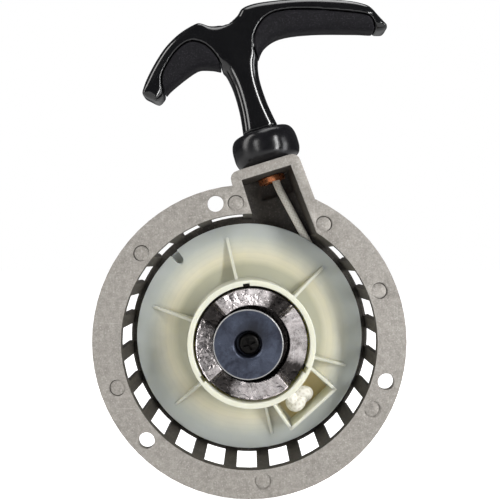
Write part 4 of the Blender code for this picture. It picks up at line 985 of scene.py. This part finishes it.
def makeKnots():
    k, p = knotShape, pulleyShape
    local = knotPath(k["half"], k["strand"])
    out, across = crankPoints(1.0, p["boxAngle"], 0.0), crankPoints(1.0, p["boxAngle"] + 90, 0.0)
    centre = out * (p["hub"] + (p["boxReach"] - p["boxWall"]) / 2 + k["lift"]) + across * k["shift"]
    centre = centre + np.array([0, p["discFront"] - 0.3 - k["half"][2], 0])
    path = centre + local[:, :1] * across + local[:, 1:2] * out + local[:, 2:] * np.array([0, 1, 0])
    knot = tube("ropeKnot", path, k["strand"], 32, (0.3, 1, 0.2), (1, 1), braidRelief, closed=True)
    placed(knot, "pulley", "rope_fibre", ["rope_knot"])
    local = knotPath(k["topHalf"], k["topStrand"])
    rise = pullLine["seat"] + k["topRise"] + local[:, 2]
    path = pullToCrank(local[:, 0], rise, pullLine["ropeDepth"] + local[:, 1])
    knot = tube("handleKnot", path, k["topStrand"], 24, (0.3, 0.2, 1), (1, 1), braidRelief, closed=True)
    placed(knot, "rope_end", "rope_fibre", ["handle_knot"])


makeWoundRope()
makeRopeLead()
makeRopeStem()
makeKnots()

# ---- claw: a cast ring with four saw teeth on its face and three lugs in the hub's keyways
clawShape = {
    "bore": 16.0, "seatBore": 11.5, "teeth": 23.2, "ring": 23.9, "back": 4.0, "seatBack": 2.0,
    "baseFront": -1.5, "low": -4.6, "high": -7.8, "phase": 46.0, "teethCount": 4, "lowShare": 0.18,
    "highShare": 0.16, "edgeShare": 0.94, "lugReach": 1.1, "lugHalf": 1.15, "lugFront": -1.0,
    "lugBack": 3.5, "faceStep": 2.4, "rough": 0.07,
}


# Height of the face by angle: low flat, ramp up, high flat, step down; averaged over 0.75 degrees.
def clawFace(degrees):
    c = clawShape
    share = ((degrees - c["phase"]) % (360.0 / c["teethCount"])) / (360.0 / c["teethCount"])
    stops = [0.0, c["lowShare"], 1 - c["highShare"], c["edgeShare"], 1.0]
    height = np.interp(share, stops, [c["low"], c["low"], c["high"], c["high"], c["low"]])
    return (np.roll(height, 1) + height * 2 + np.roll(height, -1)) / 4


# height = profile height + face height and seeded waves on the toothed face; radius grows at the lugs
def makeClaw():
    c = clawShape
    bore, teeth, ring, base = c["bore"], c["teeth"], c["ring"], c["baseFront"]
    lugFront, lugBack = c["lugFront"], c["lugBack"]
    seatBore, seatBack, step = c["seatBore"], c["seatBack"], c["faceStep"]
    # radius, height, rounding, share of the toothed face, share of a lug
    corners = np.array([
        (bore, 0, 0.45, 1, 0), (bore + step, 0, 0, 1, 0), (bore + 2 * step, 0, 0, 1, 0),
        (teeth, 0, 0.5, 1, 0), (teeth, base, 0.2, 0, 0), (ring, base, 0.2, 0, 0),
        (ring, lugFront - 0.02, 0, 0, 0), (ring, lugFront, 0, 0, 1), (ring, lugBack, 0, 0, 1),
        (ring, lugBack + 0.02, 0, 0, 0), (ring, c["back"], 0.3, 0, 0), (seatBore, c["back"], 0.3, 0, 0),
        (seatBore, seatBack, 0.3, 0, 0), (bore, seatBack, 0.3, 0, 0),
    ], float)
    profile, owner = rounded(corners[:, :3], 4)
    faceShare, lugShare = corners[owner, 3], corners[owner, 4]
    lugHalf = math.degrees(math.asin(c["lugHalf"] / ring))
    edges = [a + s * lugHalf for a in pulleyShape["keyAngles"] for s in (-1, 1)]
    degrees = anglesWithEdges(0.3, edges)
    face = clawFace(degrees)
    lug = window(degrees, pulleyShape["keyAngles"], lugHalf)
    radius = profile[None, :, 0] + np.outer(lug, lugShare) * c["lugReach"]
    around = np.radians(degrees)[:, None] * 20.0
    cast = c["rough"] * waves(around, profile[None, :, 0] * 1.6, 5)
    height = profile[None, :, 1] + np.outer(face, faceShare) + cast * faceShare[None, :]
    grid = leaned(crankPoints(radius, degrees[:, None], height))
    piece = gridPiece("clawRing", grid, True, True, crease=38.0)
    return placed(piece, "claw", "cast_steel", ["ratchet_claw"])


makeClaw()

# ---- springs
springShape = {
    "clawRadius": 12.9, "clawWire": 0.45, "clawTurns": 3.5, "clawFront": -6.35, "clawBack": 1.25,
    "clawKeep": 0.40, "dragRadius": 9.8, "dragWire": 0.5, "dragStart": 30.0, "dragSweep": 300.0,
    "dragDepth": 5.4, "dragReach": 3.4, "stripInner": 16.2, "stripOuter": 38.6, "stripTurns": 5,
    "stripThick": 0.6, "stripFront": 28.9, "stripWide": 7.0,
}


# A helix about the crank axis whose end turns lie flat.
def makeClawCoil():
    s = springShape
    whole = s["clawTurns"] * 360.0
    front, back = s["clawFront"], s["clawBack"]
    turn = np.linspace(0, whole, 420)
    depth = np.interp(turn, [0, 250, whole - 250, whole], [front, front + 0.7, back - 0.7, back])
    path = crankPoints(s["clawRadius"], turn, depth)
    coil = tube("clawCoil", path, s["clawWire"], 12, (0, 1, 0))
    placed(coil, "housing", "spring_steel", ["claw_spring"])
    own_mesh(coil)


# Most of a ring, then out and forwards into the claw
def makeDragCoil():
    s = springShape
    radius, depth, last = s["dragRadius"], s["dragDepth"], s["dragStart"] + s["dragSweep"]
    angle = s["dragStart"] + np.linspace(0, s["dragSweep"], 60)
    ring = crankPoints(radius, angle, depth + 0 * angle)
    reach = radius + s["dragReach"]
    leg = np.array([(radius + 1.6, depth), (reach, depth), (reach + 0.3, depth - 0.6),
                    (reach + 0.3, 3.4), (reach + 0.3, 2.4)])
    bends = np.vstack([ring, crankPoints(leg[:, 0], last, leg[:, 1])])
    coil = tube("dragCoil", evenly(through(bends, 4, False), 0.35), s["dragWire"], 12, (0.05, 0.2, 1))
    placed(coil, "claw", "spring_steel", ["drag_spring"])


# A flat strip whose radius grows evenly with its angle
def makeRecoilStrip():
    s = springShape
    share = np.linspace(0, 1, 900)
    radius = s["stripInner"] + (s["stripOuter"] - s["stripInner"]) * share
    degrees = share * 360.0 * s["stripTurns"]
    half, wide = s["stripThick"] / 2, s["stripWide"] / 2
    edges = [(-half, -wide, 0.2), (half, -wide, 0.2), (half, wide, 0.2), (-half, wide, 0.2)]
    section, _ = rounded(edges, 3)
    depth = s["stripFront"] + wide + section[None, :, 1]
    grid = crankPoints(radius[:, None] + section[None, :, 0], degrees[:, None], depth)
    piece = gridPiece("recoilStrip", cappedRows(grid), False, True, crease=35.0)
    placed(piece, "housing", "spring_steel", ["recoil_spring"])


makeClawCoil()
makeDragCoil()
makeRecoilStrip()

# ---- cap and screw
capShape = {
    "shift": -0.4, "radius": 14.6, "front": -8.3, "thick": 1.2, "dish": 5.6, "dishFloor": -1.7,
    "hole": 3.3,
}
screwShape = {
    "radius": 3.0, "head": 4.5, "front": -6.5, "back": -3.5, "end": 10.2, "slotHalf": 0.45,
    "slotReach": 2.56, "slotDepth": 1.6, "slotAngle": 20.0,
}


# A rounded profile turned about a line just beside the crank axis
def makeCap():
    c = capShape
    front, thick, floor = c["front"], c["thick"], c["dishFloor"]
    dish, hole, radius = c["dish"], c["hole"], c["radius"]
    corners = [
        (hole, floor, 0.2), (dish, floor, 1.2), (dish, front, 1.3), (radius, front, 0.5),
        (radius, front + thick, 0.3), (dish + thick, front + thick, 0.9),
        (dish + thick, floor + thick, 1.6), (hole, floor + thick, 0.2),
    ]
    profile, _ = rounded(corners, 8)
    grid = turned(profile, 256) + np.array([c["shift"], 0, 0])
    piece = gridPiece("capPlate", grid, True, True, crease=50.0)
    placed(piece, "housing", "blued_steel", ["cap_disc"])


# The head's face is a field of heights: it drops where the point lies in either arm of the cross.
def makeScrew():
    s = screwShape
    head, front, radius, end = s["head"], s["front"], s["radius"], s["end"]
    inner = np.linspace(0.001, head - 1.2, 40)
    rest = np.array([
        (head - 0.5, front + 0.25), (head - 0.1, front + 0.8), (head, front + 1.4), (head, s["back"]),
        (radius, s["back"]), (radius, end - 0.8), (radius - 0.8, end), (0.001, end)])
    profile = np.vstack([np.stack([inner, np.full(len(inner), front)], 1), rest])
    grid = turned(profile, 240)
    theta = np.radians(np.arange(240) * 1.5 - s["slotAngle"])[:, None]
    out = profile[None, :, 0]
    a, b = np.abs(out * np.cos(theta)), np.abs(out * np.sin(theta))
    half, reach = s["slotHalf"], s["slotReach"]
    inArm = ((a < half) & (b < reach)) | ((b < half) & (a < reach))
    inFace = np.arange(len(profile))[None, :] < len(inner)
    grid[..., 1] += np.where(inArm & inFace, s["slotDepth"], 0.0)
    onAxis = np.array([0, 1, 0])
    grid = np.concatenate([grid[:, :1] * onAxis, grid, grid[:, -1:] * onAxis], 1)
    grid[:, 0, 1] = front + s["slotDepth"]
    screw = gridPiece("centreScrew", grid, True, False, crease=35.0)
    placed(screw, "housing", "blued_steel", ["centre_screw"])
    screw.data.materials[0] = screwBlack


makeCap()
makeScrew()

# ---- handle: collar, body with stem, two soft grips. Rises here are measured from the collar's foot.
handleShape = {
    "collarRadius": 15.3, "collarHeight": 15.2, "collarFloor": 3.6, "mouth": 3.2, "spigot": 6.0,
    "thick": 14.0, "roundAcross": 4.6, "roundDeep": 4.2, "groove": 0.35, "pocket": 5.3,
    "pocketRise": 54.0, "ropeBore": 2.2, "voxel": 0.55, "smooth": 10, "gripDrop": 0.3,
    "gripSmooth": 6,
}
barOutline = [
    (-46.5, 47.7), (-43.3, 52.6), (-37.1, 59.0), (-30.1, 64.7), (-22.0, 68.8), (-14.2, 70.5),
    (-11.2, 69.8), (-7.6, 67.6), (-2.0, 66.8), (4.6, 68.2), (8.8, 71.2), (17.9, 71.2), (36.3, 67.2),
    (54.0, 60.9), (61.9, 56.8), (64.8, 54.0), (66.9, 49.6), (68.4, 46.4), (69.1, 44.2),
    (68.7, 42.7), (67.3, 42.2), (64.8, 42.7), (60.8, 44.0), (54.3, 46.3), (36.1, 51.8),
    (22.0, 54.2), (13.4, 52.1), (8.6, 46.6), (6.9, 41.0), (6.35, 35.0), (6.6, 27.0), (7.4, 20.5),
    (8.3, 15.0), (8.7, 10.6), (7.6, 8.2), (3.8, 7.6), (0.0, 7.5), (-3.8, 7.6), (-7.6, 8.2),
    (-8.7, 10.6), (-8.3, 15.0), (-7.4, 20.5), (-6.6, 27.0), (-6.35, 35.0), (-6.9, 41.5),
    (-8.7, 46.9), (-15.5, 50.4), (-21.0, 50.7), (-33.7, 45.9), (-38.4, 42.6), (-40.6, 41.6),
    (-42.2, 42.0), (-44.2, 43.9), (-46.1, 45.8),
]
rightGrip = [
    (8.7, 46.0), (8.5, 53.2), (10.9, 58.3), (15.2, 62.2), (20.3, 64.0), (27.6, 63.4), (37.9, 60.4),
    (50.3, 55.7), (60.4, 51.2), (62.9, 48.3), (63.1, 43.5),
]
leftGrip = [
    (-36.9, 43.5), (-35.7, 51.1), (-31.4, 56.3), (-25.3, 60.9), (-19.1, 62.8), (-14.2, 60.7),
    (-10.8, 56.4), (-8.9, 50.7), (-8.9, 46.0),
]


# The collar's radius follows a smooth curve through these shares of radius and height.
def makeCollar():
    h = handleShape
    outer = [(0.8, 0.0), (0.92, 0.07), (0.99, 0.25), (1.0, 0.46),
             (0.985, 0.67), (0.93, 0.84), (0.83, 0.95), (0.66, 1.0)]
    wall = through(outer, 8, False) * np.array([h["collarRadius"], h["collarHeight"]])
    bore, floor, mouth = h["spigot"] + 0.3, h["collarFloor"], h["mouth"]
    inside = np.array([(bore, h["collarHeight"]), (bore, floor), (mouth, floor), (mouth, 0.0)])
    profile = np.vstack([wall, inside]) + np.array([0, pullLine["seat"]])
    placed(gridPiece("collarRing", turned(profile, 160, "pull"), True, True, crease=50.0),
           "handle", "black_rubber", ["handle_collar"])


# Moves an outline inwards along its normals, each point by its own distance.
def inset(outline, distance):
    step = np.roll(outline, -1, 0) - np.roll(outline, 1, 0)
    step /= np.linalg.norm(step, axis=1, keepdims=True)
    return outline + np.stack([step[:, 1], -step[:, 0]], 1) * distance[:, None]


# How far each point of a clockwise outline may move inwards: most, or a share of the outline's radius
# of curvature where it turns sharply, taken as the least nearby and then averaged.
def insetRoom(outline, most):
    before = outline - np.roll(outline, 1, 0)
    after = np.roll(outline, -1, 0) - outline
    turn = before[:, 1] * after[:, 0] - before[:, 0] * after[:, 1]
    length = np.linalg.norm(before, axis=1) * np.linalg.norm(after, axis=1)
    bend = turn / length / np.linalg.norm(after, axis=1)
    room = np.clip(0.8 / np.maximum(bend, 1e-6), 0.6, most)
    reach = np.arange(-8, 9)
    near = (np.arange(len(room))[:, None] + reach[None, :]) % len(room)
    return room[near].min(1)[near].mean(1)


# A bar whose rims follow a quarter ellipse: rings of the outline, moved in as they near each face.
def barRings(half, roundAcross, roundDeep):
    outline = through(barOutline, 14)
    room = insetRoom(outline, roundAcross)
    angle = np.linspace(0, np.pi / 2, 9)
    move = 1 - np.cos(angle)
    depth = half - roundDeep + roundDeep * np.sin(angle)
    moves = np.concatenate([move[::-1], move])
    depths = np.concatenate([-depth[::-1], depth])
    rings = np.stack([inset(outline, room * m) for m in moves])
    rise = rings[..., 1] + pullLine["seat"]
    return pullToCrank(rings[..., 0], rise, pullLine["ropeDepth"] + depths[:, None])


# A straight-sided block over a region of the bar, to cut it with.
def regionBlock(name, drawn, grow, half):
    edge = through(drawn, 6, False)
    loop = np.vstack([edge, edge[-1:] + (0, -16.0), edge[:1] + (0, -16.0)])
    step = np.roll(loop, -1, 0) - np.roll(loop, 1, 0)
    step /= np.linalg.norm(step, axis=1, keepdims=True)
    area = np.sum(loop[:, 0] * np.roll(loop[:, 1], -1) - loop[:, 1] * np.roll(loop[:, 0], -1))
    loop = loop + np.stack([step[:, 1], -step[:, 0]], 1) * grow * np.sign(area)
    depth = pullLine["ropeDepth"] + np.array([-half, half])[:, None]
    return closedRings(name, pullToCrank(loop[None, :, 0], loop[None, :, 1] + pullLine["seat"], depth))


# Rings closed by a flat face at each end
def closedRings(name, grid):
    piece = gridPiece(name, grid, False, True)
    bm = bmesh.new()
    bm.from_mesh(piece.data)
    bmesh.ops.holes_fill(bm, edges=[e for e in bm.edges if e.is_boundary])
    bmesh.ops.recalc_face_normals(bm, faces=bm.faces)
    bm.to_mesh(piece.data)
    bm.free()
    return piece


# Remeshes a piece into even small faces
def evened(piece, voxel):
    remesh = piece.modifiers.new("evenFaces", "REMESH")
    remesh.mode = "VOXEL"
    remesh.voxel_size = voxel * mm
    return piece


# Evens a piece and relaxes it, so that its edges and joins are softened
def softened(piece, cutters, voxel, rounds):
    evened(piece, voxel)
    relax = piece.modifiers.new("relaxed", "SMOOTH")
    relax.factor, relax.iterations = 0.5, rounds
    baked(piece, cutters)
    piece.data.shade_smooth()
    return piece


# A closed profile about the pull line, as a block to add or to cut away
def pullBlock(name, profile, count):
    return gridPiece(name, turned(np.array(profile), count, "pull"), True, False)


# The bar with its grips' recesses and its foot cut away, a turned spigot added, and the rope's bore cut
def makeHandleBody():
    h = handleShape
    seat, half, spigot, bore = pullLine["seat"], h["thick"] / 2, h["spigot"], h["ropeBore"]
    rings = barRings(half, h["roundAcross"], h["roundDeep"])
    body = evened(closedRings("handleBody", rings), h["voxel"])
    collarTop, collarIn = seat + h["collarHeight"], seat + h["collarFloor"] + 0.3
    side, rise = h["thick"] * 2 * np.array([-1, 1, 1, -1]), np.repeat([seat - 5, collarTop + 0.3], 2)
    depth = pullLine["ropeDepth"] + (half + 2) * np.array([[-1], [1]])
    into, pocket, above, wide = collarTop + 6.0, seat + h["pocketRise"], seat + 90.0, h["pocket"]
    stem = [(0, collarIn), (spigot, collarIn), (spigot, into), (0, into)]
    hollow = [(0, seat + 2), (bore, seat + 2), (bore, pocket), (wide, pocket), (wide, above), (0, above)]
    steps = [
        (regionBlock("rightRecess", rightGrip, h["groove"], half + 1), "DIFFERENCE"),
        (regionBlock("leftRecess", leftGrip, h["groove"], half + 1), "DIFFERENCE"),
        (closedRings("footCut", pullToCrank(side, rise, depth)), "DIFFERENCE"),
        (pullBlock("spigotTurned", stem, 96), "UNION"),
        (pullBlock("boreTurned", hollow, 64), "DIFFERENCE"),
    ]
    for cutter, operation in steps:
        booleaned(body, cutter, operation)
    softened(body, [cutter for cutter, _ in steps], h["voxel"], h["smooth"])
    placed(body, "handle", "gloss_black", ["handle_body"])


# A slightly thinner bar, kept only where the drawn region is
def makeGrip(name, drawn, node):
    h = handleShape
    half = h["thick"] / 2
    rings = barRings(half - h["gripDrop"], h["roundAcross"], h["roundDeep"])
    grip = evened(closedRings(name, rings), h["voxel"])
    region = regionBlock(name + "Region", drawn, 0.0, half + 1)
    booleaned(grip, region, "INTERSECT")
    softened(grip, [region], h["voxel"], h["gripSmooth"])
    placed(grip, "handle", "soft_black", [node])


makeCollar()
makeHandleBody()
makeGrip("gripRight", rightGrip, "handle_grip_right")
makeGrip("gripLeft", leftGrip, "handle_grip_left")

for nodeName, slotName in nodeSlots.items():
    for materialSlot in nodes[nodeName].material_slots:
        materialSlot.material = finishes[slotName]
print("pieces ready")

# ---- floor, light and camera
stageLook = {
    "floor": -66.95, "reach": 3.0, "glow": (0.12, 1.15), "paper": (0.86, 0.9),
    "around": (0.07, 0.072, 0.076), "middle": (0.0, 0.0, 0.05),
}


# A pale floor that glows a little, so that it stays even under the object.
def makeFloor():
    look = stageLook
    side, height = look["reach"] * np.array([-1, 1, 1, -1]), np.full(4, look["floor"] * mm)
    mesh = bpy.data.meshes.new("studioFloor")
    mesh.from_pydata(np.stack([side, np.roll(side, 1), height], 1).tolist(), [], [(0, 1, 2, 3)])
    material, tree, shader, place = newMaterial("floorPaper", {"Roughness": 0.9})
    darker, lighter = look["paper"]
    colour = ramp(tree, noise(tree, place, 8.0, 2.0), [(0.3, (darker,) * 3), (0.7, (lighter,) * 3)])
    feed(tree, shader.inputs["Base Color"], colour)
    seen = addNode(tree, "ShaderNodeLightPath").outputs["Is Camera Ray"]
    feed(tree, shader.inputs["Emission Strength"], spanned(tree, seen, 0.0, 1.0, *look["glow"]))
    feed(tree, shader.inputs["Emission Color"], colour)
    mesh.materials.append(material)
    linked("studioFloor", mesh)


def makeWorld():
    world = bpy.data.worlds.new("studioWorld")
    world.use_nodes = True
    tree = world.node_tree
    seen = addNode(tree, "ShaderNodeLightPath").outputs["Is Camera Ray"]
    feed(tree, tree.nodes["Background"].inputs[0], mixed(tree, seen, stageLook["around"], (1, 1, 1)))
    bpy.context.scene.world = world


# name: place, size, power, colour. Each lamp looks at the middle of the object.
lamps = {
    "lampLeft": ((-0.75, -0.20, 0.42), (0.25, 0.9), 3.6, (1.0, 0.98, 0.96)),
    "lampTop": ((0.05, -0.05, 1.0), (0.9, 0.4), 4.2, (1.0, 1.0, 1.0)),
    "lampRightFront": ((0.70, -0.95, 0.35), (0.14, 0.8), 9.5, (1.0, 1.0, 1.0)),
    "lampLeftFront": ((-0.75, -1.10, 0.30), (0.3, 0.5), 2.8, (1.0, 0.995, 0.985)),
    "lampRight": ((0.85, -0.35, 0.15), (0.25, 0.7), 3.2, (0.97, 0.98, 1.0)),
}


def makeLamps():
    middle = Vector(stageLook["middle"])
    for name, (place, size, power, colour) in lamps.items():
        light = bpy.data.lights.new(name, "AREA")
        light.shape = "RECTANGLE"
        light.size, light.size_y = size
        light.energy, light.color = power, colour
        lamp = linked(name, light)
        lamp.location = place
        lamp.rotation_euler = (middle - Vector(place)).to_track_quat("-Z", "Y").to_euler()


cameraLook = {"place": (0.0003, -0.280, 0.0391), "lens": 47.43, "sensor": 36.0}


def makeCamera():
    data = bpy.data.cameras.new("camera")
    data.lens = cameraLook["lens"]
    data.sensor_width = cameraLook["sensor"]
    data.clip_start = 0.01
    camera = linked("camera", data)
    camera.location = cameraLook["place"]
    camera.rotation_euler = (math.pi / 2, 0, 0)
    bpy.context.scene.camera = camera


makeFloor()
makeWorld()
makeLamps()
makeCamera()
bpy.context.scene.view_settings.view_transform = "Standard"
print("stage ready")
